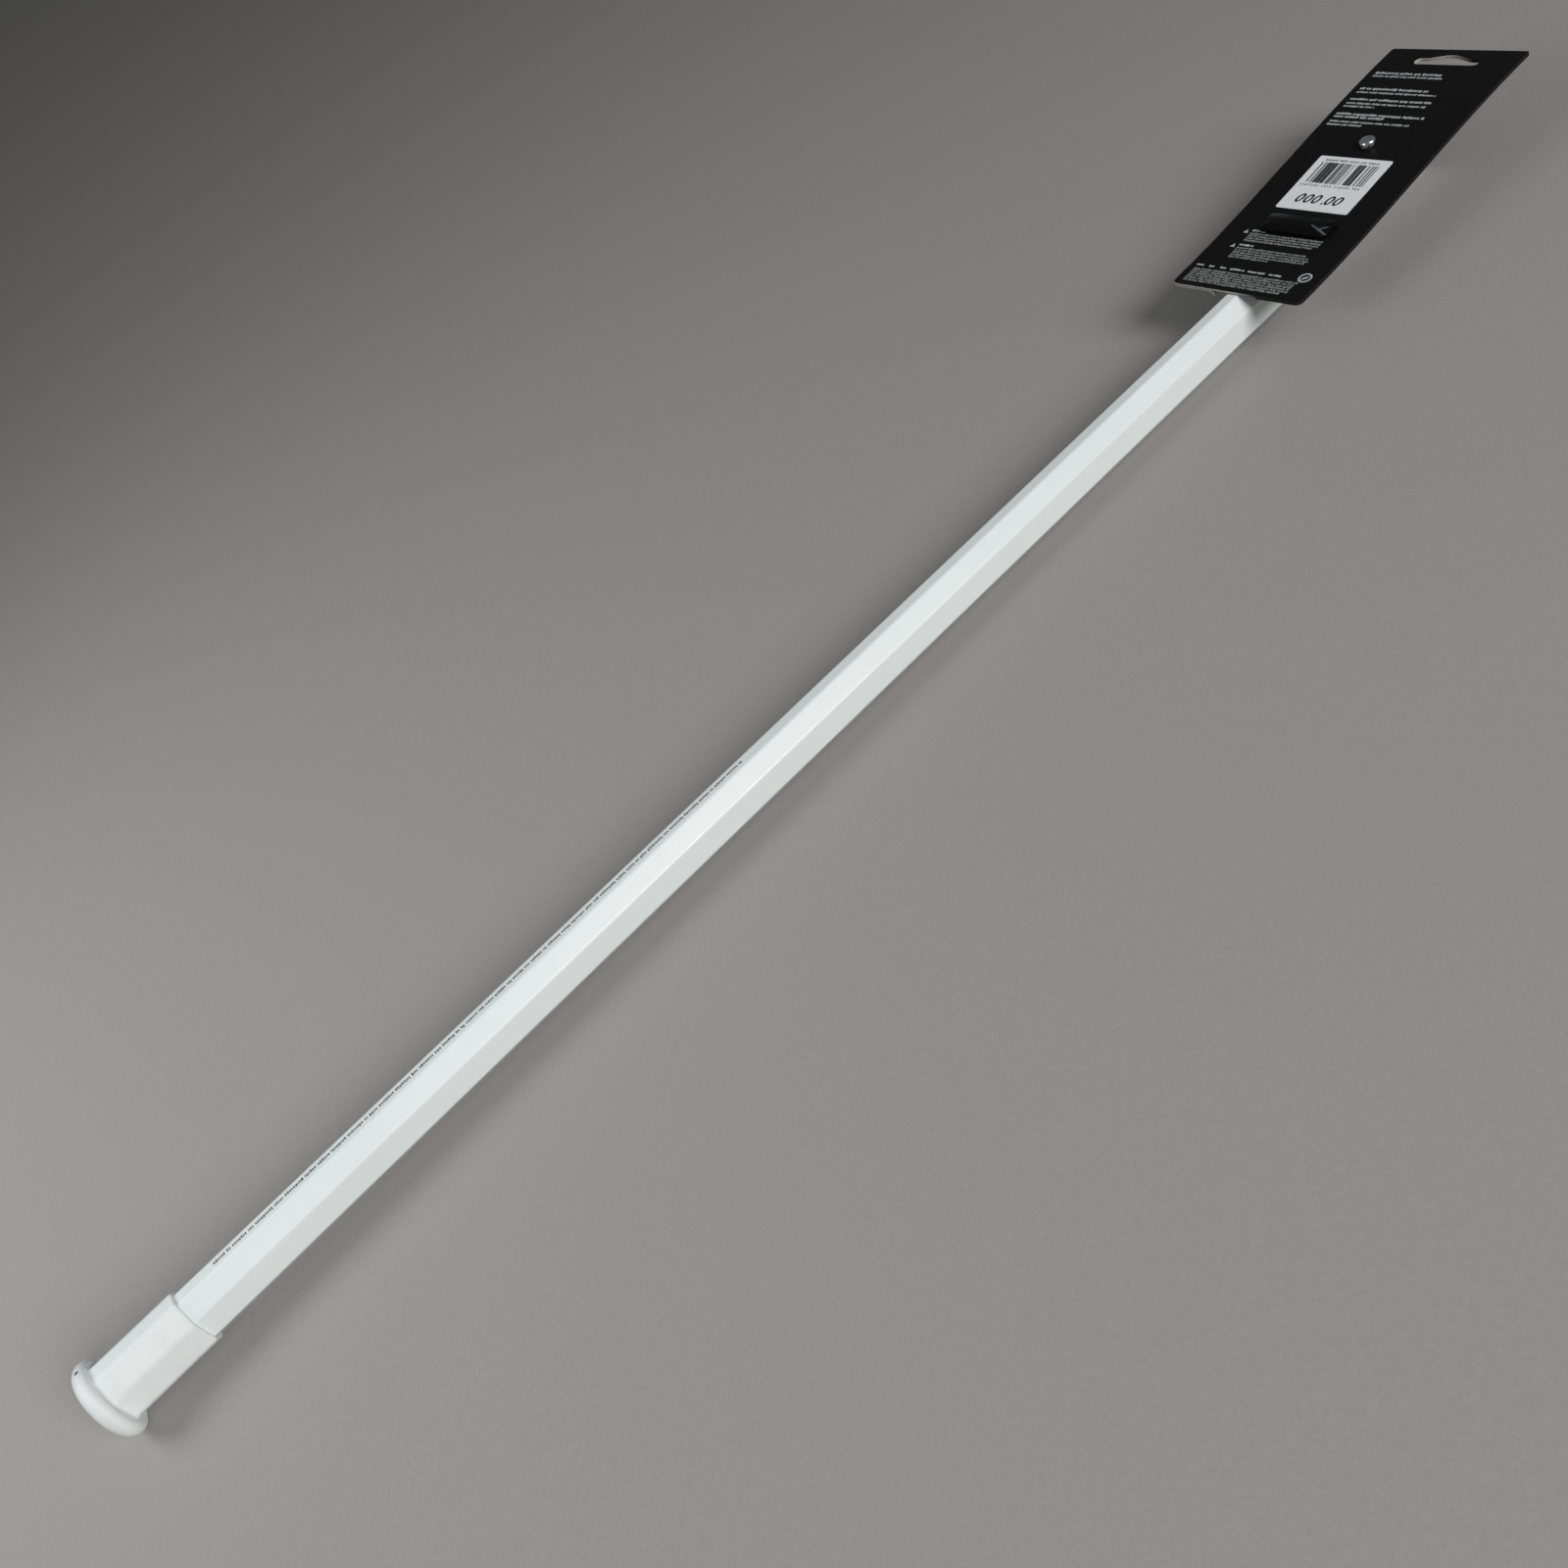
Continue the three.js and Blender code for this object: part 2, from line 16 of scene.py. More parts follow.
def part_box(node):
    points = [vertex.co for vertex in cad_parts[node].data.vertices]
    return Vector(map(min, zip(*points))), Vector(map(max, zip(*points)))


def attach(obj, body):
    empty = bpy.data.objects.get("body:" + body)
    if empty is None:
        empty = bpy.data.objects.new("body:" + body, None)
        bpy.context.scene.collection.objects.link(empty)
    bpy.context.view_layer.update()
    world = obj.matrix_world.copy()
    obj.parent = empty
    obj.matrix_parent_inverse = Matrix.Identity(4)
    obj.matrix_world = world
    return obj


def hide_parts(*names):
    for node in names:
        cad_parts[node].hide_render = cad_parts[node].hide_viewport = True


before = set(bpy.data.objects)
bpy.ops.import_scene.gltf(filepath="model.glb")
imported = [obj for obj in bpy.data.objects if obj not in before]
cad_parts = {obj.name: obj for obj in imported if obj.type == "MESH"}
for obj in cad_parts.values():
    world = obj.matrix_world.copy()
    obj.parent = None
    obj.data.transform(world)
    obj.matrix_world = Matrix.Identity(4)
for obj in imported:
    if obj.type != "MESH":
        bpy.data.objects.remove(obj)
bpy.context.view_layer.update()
MM = 0.001


def box_mm(node):
    """Lowest and highest corner of a CAD node, in millimetres."""
    low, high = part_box(node)
    return low / MM, high / MM


# ---------------------------------------------------------------- places from the frame

TUBE_LOW, TUBE_HIGH = box_mm("shaft_tube")
CAP_LOW, CAP_HIGH = box_mm("butt_cap")
SCREW_LOW, SCREW_HIGH = box_mm("head_screw")
CARD_LOW, CARD_HIGH = box_mm("header_front_ply")
LABEL_LOW, LABEL_HIGH = box_mm("price_label")
TAG_LOW, TAG_HIGH = box_mm("tag_housing")

# ---------------------------------------------------------------- driving dimensions, millimetres

TUBE_BEVEL = 6.05
TUBE_WALL = 1.3
TUBE_CORNER_RADIUS = 1.6
TUBE_DEBURR = 0.3
BORE_DEBURR = 0.15
SCREW_HOLE_RADIUS = 2.75

FLANGE_RADIUS = CAP_HIGH.y
FLANGE_THICKNESS = 6.8
CAP_END_WALL = 5.2
CAP_FIT_GAP = 0.3
CAP_WALL = 1.2
CAP_FILLET = 1.3
FLANGE_BUTT_ROUND = 0.62 * FLANGE_THICKNESS
CAP_LIP_RADIUS = 0.9
CAP_LIP_GAP = 0.05
CAP_LIP_LENGTH = 1
CAP_NICK_RADIUS = 0.75

SCREW_HEAD_RADIUS = (SCREW_HIGH.x - SCREW_LOW.x) / 2
SCREW_HEAD_HEIGHT = 2.9
SCREW_THREAD_RADIUS = 2.4
SCREW_ROOT_RADIUS = 1.75
SCREW_PITCH = 1.6
SCREW_TIP_LENGTH = 3.2
SCREW_RUN_OUT = 1.5
SCREW_X = (SCREW_HIGH.x + SCREW_LOW.x) / 2
SCREW_SEAT = SCREW_HIGH.z - SCREW_HEAD_HEIGHT
RECESS_REACH = 2.1
RECESS_HALF_WIDTH = 0.6
RECESS_DEPTH = 1.7
RECESS_TURN = math.radians(36)

FRONT_PLY = 0.9
BACK_PLY = 0.7
GLUE_GAP = 0.12
CARD_BEND = 0.85
CARD_TILT = 0.03
CARD_FOOT = CARD_LOW.z - CARD_TILT * CARD_LOW.y
CARD_RISE = CARD_HIGH.z - FRONT_PLY - CARD_TILT * CARD_HIGH.y - CARD_FOOT
CARD_MIDDLE = (CARD_LOW.y + CARD_HIGH.y) / 2
CARD_BOTTOM_RADIUS = 3
CARD_TOP_RADIUS = 0.8
CARD_HOLE_RADIUS = 3.1
CARD_STEP = 4
PRINTED_SKIN = 0.12
GLUED_SKIN = 0.01
SLOT_HALF_WIDTH = 12.4
SLOT_END = TUBE_HIGH.x + 5
LIP_DROP = 2.4
TAB_WIDTH = math.pi / 2 * (LIP_DROP - BACK_PLY / 2)
RIGHTWARD_DARKENING = 12

HANG_WIDTH = 32.4
HANG_SLOT_HEIGHT = 5
HANG_PEAK_HEIGHT = 8
HANG_PEAK_HALF_WIDTH = 12.5
HANG_BELOW_TOP = 12.4

LABEL_SIZE_X = 36.2
LABEL_SIZE_Y = 37.5
LABEL_THICKNESS = 0.2
LABEL_TURN = math.radians(-0.4)
LABEL_CENTRE = (LABEL_LOW + LABEL_HIGH) / 2

TAG_LENGTH = 35.4
TAG_WIDTH = 10.8
TAG_CORNER_RADIUS = 2
TAG_EDGE_RADIUS = 0.55
TAG_CENTRE = (TAG_LOW + TAG_HIGH) / 2

INK_THICKNESS = 0.03
INK_SINK = INK_THICKNESS / 3
LABEL_LIFT = 0.01

# ---------------------------------------------------------------- colours, linear light

PAINT_WHITE = (0.80, 0.86, 0.86)
RUBBER_WHITE = (0.78, 0.83, 0.83)
CARD_BLACK = (0.005, 0.005, 0.0055)
BACK_BLACK = (0.012, 0.012, 0.013)
BOARD_CORE = (0.68, 0.66, 0.62)
# Colour the pulp darkens to towards the card's right.
RIGHTWARD_DARK_CORE = (0.016, 0.0145, 0.0135)
LABEL_WHITE = (0.84, 0.89, 0.90)
CARD_INK = (0.50, 0.51, 0.52)
SMALL_INK = (0.24, 0.245, 0.245)
DARK_INK = (0.020, 0.024, 0.027)
TUBE_INK = (0.10, 0.10, 0.10)
PLATED_STEEL = (0.72, 0.76, 0.78)
BARE_ALUMINIUM = (0.66, 0.67, 0.68)
# Painted shade colour for the nick in the flange.
NICK_PAINTED_SHADE = (0.09, 0.09, 0.085)
FILM_BLACK = (0.0022, 0.0022, 0.0026)
FILM_SCRATCHED = (0.008, 0.008, 0.009)
# Painted highlight colour for the tag's upper left end.
FILM_PAINTED_HIGHLIGHT = (0.075, 0.077, 0.083)
# Painted highlight colour for the creases at the tag's right end.
FILM_CREASE_HIGHLIGHT = (0.15, 0.155, 0.165)
FOAM_DARK = (0.03, 0.03, 0.03)
FOAM_GREY = (0.05, 0.05, 0.05)
FOAM_PALE = (0.08, 0.08, 0.08)
MAGNET_GREY = (0.20, 0.20, 0.21)
RESONATOR_GREY = (0.48, 0.48, 0.50)
FLOOR_GREY = (0.37, 0.36, 0.342)
SKY_TINT = (0.95, 0.97, 1)


# ---------------------------------------------------------------- material helpers

def new_material(name, color, roughness, metallic=0.0, specular=0.5):
    """A Principled material and its shader node."""
    material = bpy.data.materials.new(name)
    material.use_nodes = True
    shader = material.node_tree.nodes["Principled BSDF"]
    shader.inputs["Base Color"].default_value = (*color, 1)
    shader.inputs["Roughness"].default_value = roughness
    shader.inputs["Metallic"].default_value = metallic
    shader.inputs["Specular IOR Level"].default_value = specular
    return material, shader


def node(material, kind, **settings):
    made = material.node_tree.nodes.new(kind)
    for key, value in settings.items():
        setattr(made, key, value)
    return made


def link(material, source, target):
    material.node_tree.links.new(source, target)


def place_on_piece(material):
    return node(material, "ShaderNodeTexCoord").outputs["Object"]


def noise(material, per_mm, detail=3.0, stretch=(1, 1, 1)):
    """Noise on the piece, with that many features to the millimetre along each stretched axis."""
    mapping = node(material, "ShaderNodeMapping")
    mapping.inputs["Scale"].default_value = [per_mm * s / MM for s in stretch]
    link(material, place_on_piece(material), mapping.inputs["Vector"])
    texture = node(material, "ShaderNodeTexNoise")
    texture.inputs["Scale"].default_value = 1
    texture.inputs["Detail"].default_value = detail
    link(material, mapping.outputs["Vector"], texture.inputs["Vector"])
    return texture.outputs["Fac"]


def spread(material, value, low, high, start=0.3, stop=0.7):
    """Maps a value from start..stop to low..high."""
    mapped = node(material, "ShaderNodeMapRange")
    link(material, value, mapped.inputs["Value"])
    numbers = {"From Min": start, "From Max": stop, "To Min": low, "To Max": high}
    for name, number in numbers.items():
        mapped.inputs[name].default_value = number
    return mapped.outputs["Result"]


def place_along(material, axis):
    """Place on one axis of the frame (0 for X, 1 for Y), in metres."""
    axes = node(material, "ShaderNodeSeparateXYZ")
    link(material, place_on_piece(material), axes.inputs[0])
    return axes.outputs[axis]


def fade_along(material, axis, start, stop):
    """Factor that rises from 0 to 1 between two places in millimetres on one axis."""
    return spread(material, place_along(material, axis), 0, 1, start * MM, stop * MM)


def arithmetic(material, operation, first, second):
    made = node(material, "ShaderNodeMath", operation=operation)
    for socket, value in zip(made.inputs, (first, second)):
        if isinstance(value, (int, float)):
            socket.default_value = value
        else:
            link(material, value, socket)
    return made.outputs[0]


def blend_colors(material, factor, first, second):
    """A colour between two others; each is a colour or a socket."""
    mix = node(material, "ShaderNodeMix", data_type="RGBA")
    link(material, factor, mix.inputs["Factor"])
    for socket, value in ((mix.inputs[6], first), (mix.inputs[7], second)):
        if isinstance(value, tuple):
            socket.default_value = (*value, 1)
        else:
            link(material, value, socket)
    return mix.outputs[2]


def bump(material, shader, height, depth_mm, strength=1.0):
    made = node(material, "ShaderNodeBump")
    made.inputs["Strength"].default_value = strength
    made.inputs["Distance"].default_value = depth_mm * MM
    link(material, height, made.inputs["Height"])
    link(material, made.outputs["Normal"], shader.inputs["Normal"])


def shade(color, factor):
    return tuple(channel * factor for channel in color)


def mottled(material, pattern, color, least, most=1.0):
    """A colour that a pattern varies between two shares of itself."""
    factor = spread(material, pattern, 0, 1)
    return blend_colors(material, factor, shade(color, least), shade(color, most))


# ---------------------------------------------------------------- materials

def enamel():
    """White satin enamel: a faint orange peel, fine scuffs along the tube and cloudy tone."""
    material, shader = new_material("white_enamel", PAINT_WHITE, 0.3)
    toned = mottled(material, noise(material, 0.02), PAINT_WHITE, 0.975)
    scuffs = spread(material, noise(material, 0.9, 5, (0.03, 1, 1)), 0, 0.35, 0.66, 0.78)
    color = blend_colors(material, scuffs, toned, shade(PAINT_WHITE, 0.8))
    link(material, color, shader.inputs["Base Color"])
    link(material, spread(material, noise(material, 0.12), 0.27, 0.38), shader.inputs["Roughness"])
    bump(material, shader, noise(material, 0.7, 2), 0.012)
    return material


def bare_metal():
    """Drawn aluminium, with fine lines along the tube."""
    material, shader = new_material("bare_aluminium", BARE_ALUMINIUM, 0.4, metallic=1)
    lines = noise(material, 4, 4, (0.02, 1, 1))
    link(material, mottled(material, lines, BARE_ALUMINIUM, 0.8), shader.inputs["Base Color"])
    link(material, spread(material, lines, 0.32, 0.5), shader.inputs["Roughness"])
    bump(material, shader, lines, 0.01)
    return material


def rubber():
    """White moulded rubber: matt, with a fine grain, faint handling marks and painted shade in the
    nick.
    """
    material, shader = new_material("white_rubber", RUBBER_WHITE, 0.55, specular=0.35)
    marks = spread(material, noise(material, 0.15, 5), 0, 0.5, 0.5, 0.75)
    marked = blend_colors(material, marks, RUBBER_WHITE, shade(RUBBER_WHITE, 0.88))
    # Painted shade: the nick and a ring around it are darkened as if in shadow.
    from_nick = node(material, "ShaderNodeVectorMath", operation="DISTANCE")
    link(material, place_on_piece(material), from_nick.inputs[0])
    from_nick.inputs[1].default_value = nick_centre() * MM
    reach = CAP_NICK_RADIUS * MM
    nick_shade = spread(material, from_nick.outputs["Value"], 0.92, 0, reach * 0.9, reach * 1.25)
    color = blend_colors(material, nick_shade, marked, NICK_PAINTED_SHADE)
    link(material, color, shader.inputs["Base Color"])
    link(material, spread(material, noise(material, 0.4), 0.5, 0.64), shader.inputs["Roughness"])
    bump(material, shader, noise(material, 2.2, 4), 0.02)
    return material


def zinc():
    """Bright zinc plate with a faint turned grain and a cool tint."""
    material, shader = new_material("zinc_plate", PLATED_STEEL, 0.22, metallic=1)
    grain = noise(material, 5, 4, (1, 1, 0.3))
    link(material, mottled(material, grain, PLATED_STEEL, 0.84), shader.inputs["Base Color"])
    link(material, spread(material, grain, 0.16, 0.32), shader.inputs["Roughness"])
    bump(material, shader, grain, 0.012)
    return material


def edge_wear(material, low, high, width_mm):
    """Factor that rises in a ragged line along the edges of a box seen from above."""
    distances = []
    for axis, least, most in ((0, low.x, high.x), (1, low.y, high.y)):
        place = place_along(material, axis)
        distances.append(arithmetic(material, "SUBTRACT", place, least * MM))
        distances.append(arithmetic(material, "SUBTRACT", most * MM, place))
    nearest = distances[0]
    for distance in distances[1:]:
        nearest = arithmetic(material, "MINIMUM", nearest, distance)
    ragged = spread(material, noise(material, 0.5, 5), 0, width_mm * MM, 0.45, 0.75)
    return arithmetic(material, "GREATER_THAN", ragged, nearest)


def darkened_rightwards(material, color):
    """The pulp's colour, darkened towards the card's right."""
    return blend_colors(material, fade_along(material, 1, 0, -RIGHTWARD_DARKENING), color, RIGHTWARD_DARK_CORE)


def printed_black(name, color, roughness, wear_width):
    """Black print on paperboard: a fine fibre, cloudy gloss and worn edges, pale on the left."""
    material, shader = new_material(name, color, roughness, specular=0.12)
    fibre = noise(material, 1.6, 5, (1, 0.35, 1))
    toned = mottled(material, fibre, color, 0.8, 1.35)
    worn = edge_wear(material, CARD_LOW, CARD_HIGH, wear_width)
    bared = darkened_rightwards(material, shade(BOARD_CORE, 0.2))
    link(material, blend_colors(material, worn, toned, bared), shader.inputs["Base Color"])
    gloss = spread(material, noise(material, 0.06, 3), roughness - 0.06, roughness + 0.08)
    link(material, gloss, shader.inputs["Roughness"])
    bump(material, shader, fibre, 0.015)
    return material


def board_core():
    """The pulp at the cut edges, in layers."""
    material, shader = new_material("board_core", BOARD_CORE, 0.9, specular=0.2)
    pulp = noise(material, 1.2, 5, (1, 1, 6))
    color = darkened_rightwards(material, mottled(material, pulp, BOARD_CORE, 0.7))
    link(material, color, shader.inputs["Base Color"])
    bump(material, shader, pulp, 0.06)
    return material


def label_paper():
    """Coated white label paper with a soft mottle."""
    material, shader = new_material("label_paper", LABEL_WHITE, 0.5, specular=0.35)
    mottle = noise(material, 0.5, 4)
    link(material, mottled(material, mottle, LABEL_WHITE, 0.94), shader.inputs["Base Color"])
    link(material, spread(material, mottle, 0.45, 0.58), shader.inputs["Roughness"])
    bump(material, shader, noise(material, 3, 4), 0.008)
    return material


def ink(name, color, least, most):
    """Print whose strength varies from place to place between two shares of its colour."""
    material, shader = new_material(name, color, 0.6, specular=0.25)
    patchy = mottled(material, noise(material, 0.7, 4), color, least, most)
    link(material, patchy, shader.inputs["Base Color"])
    return material


def tag_film():
    """Glossy black thermoformed film, finely scratched, with a painted grey highlight at its upper
    left end.
    """
    material, shader = new_material("tag_film", FILM_BLACK, 0.2, specular=0.16)
    scratches = noise(material, 1.5, 5, (0.2, 1, 1))
    scratched = spread(material, scratches, 0, 1, 0.6, 0.8)
    color = blend_colors(material, scratched, FILM_BLACK, FILM_SCRATCHED)
    # Painted highlight: a grey patch towards the tag's top edge and left end, standing in for the
    # light caught there.
    towards_top = fade_along(material, 0, TAG_CENTRE.x + 2, TAG_CENTRE.x + 5.4)
    towards_left = fade_along(material, 1, TAG_CENTRE.y + 5, TAG_CENTRE.y + 14)
    painted_highlight = arithmetic(material, "MULTIPLY", towards_top, towards_left)
    link(material, blend_colors(material, painted_highlight, color, FILM_PAINTED_HIGHLIGHT), shader.inputs["Base Color"])
    link(material, spread(material, scratches, 0.16, 0.3), shader.inputs["Roughness"])
    bump(material, shader, noise(material, 0.25, 2), 0.06, 0.5)
    return material


def crease_highlight_film():
    """The film where it has been bent sharply: matt, and pale grey as a painted highlight along the
    creases.
    """
    material, shader = new_material("crease_highlight_film", FILM_CREASE_HIGHLIGHT, 0.5, specular=0.3)
    highlight_mottle = noise(material, 2.5, 4)
    link(material, mottled(material, highlight_mottle, FILM_CREASE_HIGHLIGHT, 0.45), shader.inputs["Base Color"])
    bump(material, shader, highlight_mottle, 0.03)
    return material


def hidden_foam():
    """Black foam tape with open cells."""
    material, shader = new_material("adhesive_foam", FOAM_GREY, 0.85)
    cells = node(material, "ShaderNodeTexVoronoi")
    cells.inputs["Scale"].default_value = 3 / MM
    link(material, place_on_piece(material), cells.inputs["Vector"])
    color = blend_colors(material, cells.outputs["Distance"], FOAM_DARK, FOAM_PALE)
    link(material, color, shader.inputs["Base Color"])
    bump(material, shader, cells.outputs["Distance"], 0.05)
    return material


def rolled_strip(name, color):
    """Thin rolled metal strip, lined along its length."""
    material, shader = new_material(name, color, 0.35, metallic=1)
    lines = noise(material, 6, 3, (1, 0.05, 1))
    link(material, mottled(material, lines, color, 0.7), shader.inputs["Base Color"])
    link(material, spread(material, lines, 0.25, 0.45), shader.inputs["Roughness"])
    return material


def floor_finish():
    """Plain matt tabletop with a barely visible grain."""
    material, shader = new_material("floor_grey", FLOOR_GREY, 0.8, specular=0.2)
    grain = mottled(material, noise(material, 0.8, 4), FLOOR_GREY, 0.96, 1.04)
    link(material, grain, shader.inputs["Base Color"])
    return material


# ---------------------------------------------------------------- mesh helpers

def mesh_object(name, bm, materials):
    """An object made of the bmesh, still in millimetres."""
    bmesh.ops.recalc_face_normals(bm, faces=bm.faces)
    mesh = bpy.data.meshes.new(name)
    bm.to_mesh(mesh)
    bm.free()
    for material in materials:
        mesh.materials.append(material)
    piece = bpy.data.objects.new(name, mesh)
    bpy.context.scene.collection.objects.link(piece)
    return piece


def combine(piece, operation, others):
    """Joins the others to the piece (UNION) or cuts them out (DIFFERENCE), and removes them."""
    for other in others:
        modifier = piece.modifiers.new(operation.lower(), "BOOLEAN")
        modifier.operation = operation
        modifier.solver = "EXACT"
        modifier.object = other
    depsgraph = bpy.context.evaluated_depsgraph_get()
    baked = bpy.data.meshes.new_from_object(piece.evaluated_get(depsgraph))
    piece.modifiers.clear()
    piece.data = baked
    for other in others:
        bpy.data.objects.remove(other)


def settle(piece, body, replaced=(), sharp_degrees=35):
    """Scales the piece to metres, shades it, ties it to its body and hides the CAD nodes it
    replaces.
    """
    merge = 1e-4
    bm = bmesh.new()
    bm.from_mesh(piece.data)
    bmesh.ops.remove_doubles(bm, verts=bm.verts, dist=merge)
    bmesh.ops.dissolve_degenerate(bm, edges=bm.edges, dist=merge)
    for face in bm.faces:
        face.smooth = True
    limit = math.radians(sharp_degrees)
    for edge in bm.edges:
        edge.smooth = len(edge.link_faces) == 2 and edge.calc_face_angle(0) < limit
    bmesh.ops.scale(bm, vec=(MM, MM, MM), verts=bm.verts)
    bm.to_mesh(piece.data)
    bm.free()
    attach(piece, body)
    if replaced:
        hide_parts(*replaced)
    return piece


def skin(bm, rings, closed=False, second_material=()):
    """Joins rings of points with quads. A closed skin meets itself, and an open one gets end faces.

    second_material lists the bands, counted from the first ring, that take material 1.
    """
    rows = [[bm.verts.new(point) for point in ring] for ring in rings]
    bands = list(zip(rows, rows[1:]))
    if closed:
        bands.append((rows[-1], rows[0]))
    else:
        bm.faces.new(list(reversed(rows[0])))
        bm.faces.new(rows[-1])
    for number, (low, high) in enumerate(bands):
        for i in range(len(low)):
            j = (i + 1) % len(low)
            face = bm.faces.new((low[i], low[j], high[j], high[i]))
            face.material_index = int(number in second_material)


def plate(loops, levels, step_x=CARD_STEP, cuts_y=()):
    """A flat sheet with holes, ready to bend: the outer outline comes first in loops.

    levels are heights from the lower face to the upper. The walls between the outer two levels are
    the cut edge, in material 1, and step_x and cuts_y are where the sheet may bend.
    """
    bm = bmesh.new()
    layers = [[[bm.verts.new((x, y, z)) for x, y in loop] for loop in loops] for z in levels]
    triangles = tessellate_polygon([[Vector((x, y, 0)) for x, y in loop] for loop in loops])
    for layer in (layers[0], layers[-1]):
        points = [vert for loop in layer for vert in loop]
        for triangle in triangles:
            bm.faces.new([points[i] for i in triangle])
    for low, high in zip(layers, layers[1:]):
        edge_band = len(layers) == 2 or (low is not layers[0] and high is not layers[-1])
        for lower, upper in zip(low, high):
            for i in range(len(lower)):
                j = (i + 1) % len(lower)
                face = bm.faces.new((lower[i], lower[j], upper[j], upper[i]))
                face.material_index = int(edge_band)
    cut_bend_lines(bm, loops[0], step_x, cuts_y)
    return bm


def cut_bend_lines(bm, outline, step_x, cuts_y):
    """Cuts the sheet across its length at even steps, and along it at each of cuts_y."""
    start = min(x for x, _ in outline)
    stop = max(x for x, _ in outline)
    count = int((stop - start) / step_x)
    planes = [((start + (stop - start) * k / count, 0, 0), (1, 0, 0)) for k in range(1, count)]
    planes += [((0, y, 0), (0, 1, 0)) for y in cuts_y]
    for place, normal in planes:
        geometry = bm.verts[:] + bm.edges[:] + bm.faces[:]
        bmesh.ops.bisect_plane(bm, geom=geometry, plane_co=place, plane_no=normal, dist=1e-5)


def arc(centre, radius, start_degrees, stop_degrees, steps):
    """Points on an arc, both ends included."""
    points = []
    for k in range(steps + 1):
        angle = math.radians(start_degrees + (stop_degrees - start_degrees) * k / steps)
        points.append((centre[0] + radius * math.cos(angle), centre[1] + radius * math.sin(angle)))
    return points


def circle_ring(radius, z, count, centre=(0, 0)):
    angles = [2 * math.pi * i / count for i in range(count)]
    return [(centre[0] + radius * math.cos(a), centre[1] + radius * math.sin(a), z) for a in angles]


# ---------------------------------------------------------------- octagonal tube and butt cap

CORNER_STEPS = 8
FLAT_PLACES = (0.03, 0.2, 0.4, 0.6, 0.8, 0.97)


def octagon_corners(offset):
    """The sharp corners, in turn, of the tube's octagon grown by offset."""
    half_width = TUBE_HIGH.y + offset
    half_height = TUBE_HIGH.z + offset
    bevel = TUBE_BEVEL + offset * (2 - math.sqrt(2))
    corners = []
    for sign_y, sign_z in ((1, 1), (-1, 1), (-1, -1), (1, -1)):
        side = Vector((sign_y * half_width, sign_z * (half_height - bevel)))
        flat = Vector((sign_y * (half_width - bevel), sign_z * half_height))
        corners += [side, flat] if sign_y * sign_z > 0 else [flat, side]
    return corners


def octagon_ring(offset):
    """The tube's octagon grown by offset, as (y, z) points with round corners."""
    least_radius = 0.3
    radius = max(TUBE_CORNER_RADIUS + offset, least_radius)
    corners = octagon_corners(offset)
    arcs = []
    for i, corner in enumerate(corners):
        before = (corners[i - 1] - corner).normalized()
        after = (corners[(i + 1) % 8] - corner).normalized()
        half_angle = before.angle(after) / 2
        centre = corner + (before + after).normalized() * radius / math.sin(half_angle)
        spoke = corner + before * radius / math.tan(half_angle) - centre
        first = math.degrees(math.atan2(spoke.y, spoke.x))
        turn = 180 - 2 * math.degrees(half_angle)
        arcs.append(arc(centre, radius, first, first + turn, CORNER_STEPS))
    ring = []
    for i, points in enumerate(arcs):
        ring += points
        leave, arrive = Vector(points[-1]), Vector(arcs[(i + 1) % 8][0])
        ring += [tuple(leave.lerp(arrive, share)) for share in FLAT_PLACES]
    return ring


def octagon_stations(stations):
    """Rings of the octagon at each (x, offset)."""
    return [[(x, y, z) for y, z in octagon_ring(offset)] for x, offset in stations]


def round_end(x_end, inward, radius, offset=0.0, steps=4):
    """Stations that round an edge over, from the side (first) to the end face (last)."""
    stations = []
    for k in range(steps + 1):
        angle = math.pi / 2 * k / steps
        x = x_end + inward * radius * (1 - math.sin(angle))
        stations.append((x, offset - radius * (1 - math.cos(angle))))
    return stations


def make_shaft(paint, bare):
    start, stop = TUBE_LOW.x, TUBE_HIGH.x
    spans = 24
    outside = [(start + (stop - start) * k / spans, 0) for k in range(1, spans)]
    outer = round_end(start, 1, TUBE_DEBURR)[::-1] + outside + round_end(stop, -1, TUBE_DEBURR)
    burr = BORE_DEBURR
    bore = [(stop, burr - TUBE_WALL), (stop - burr, -TUBE_WALL),
            (start + burr, -TUBE_WALL), (start, burr - TUBE_WALL)]
    bm = bmesh.new()
    in_bore = range(len(outer), len(outer) + 3)
    skin(bm, octagon_stations(outer + bore), closed=True, second_material=in_bore)
    shaft = mesh_object("white_shaft", bm, (paint, bare))

    drill = bmesh.new()
    middle = (SCREW_X, 0)
    levels = [circle_ring(SCREW_HOLE_RADIUS, z, 48, middle) for z in (0, TUBE_HIGH.z + 1)]
    skin(drill, levels)
    for face in drill.faces:
        face.material_index = 1
    combine(shaft, "DIFFERENCE", [mesh_object("drill", drill, (paint, bare))])
    return settle(shaft, "shaft", ["shaft_tube"])


def nick_centre():
    """Where the small cut in the flange's rim is: at its top, a little to the left."""
    return Vector((FLANGE_BUTT_ROUND, FLANGE_RADIUS * 0.2, FLANGE_RADIUS * 0.97))


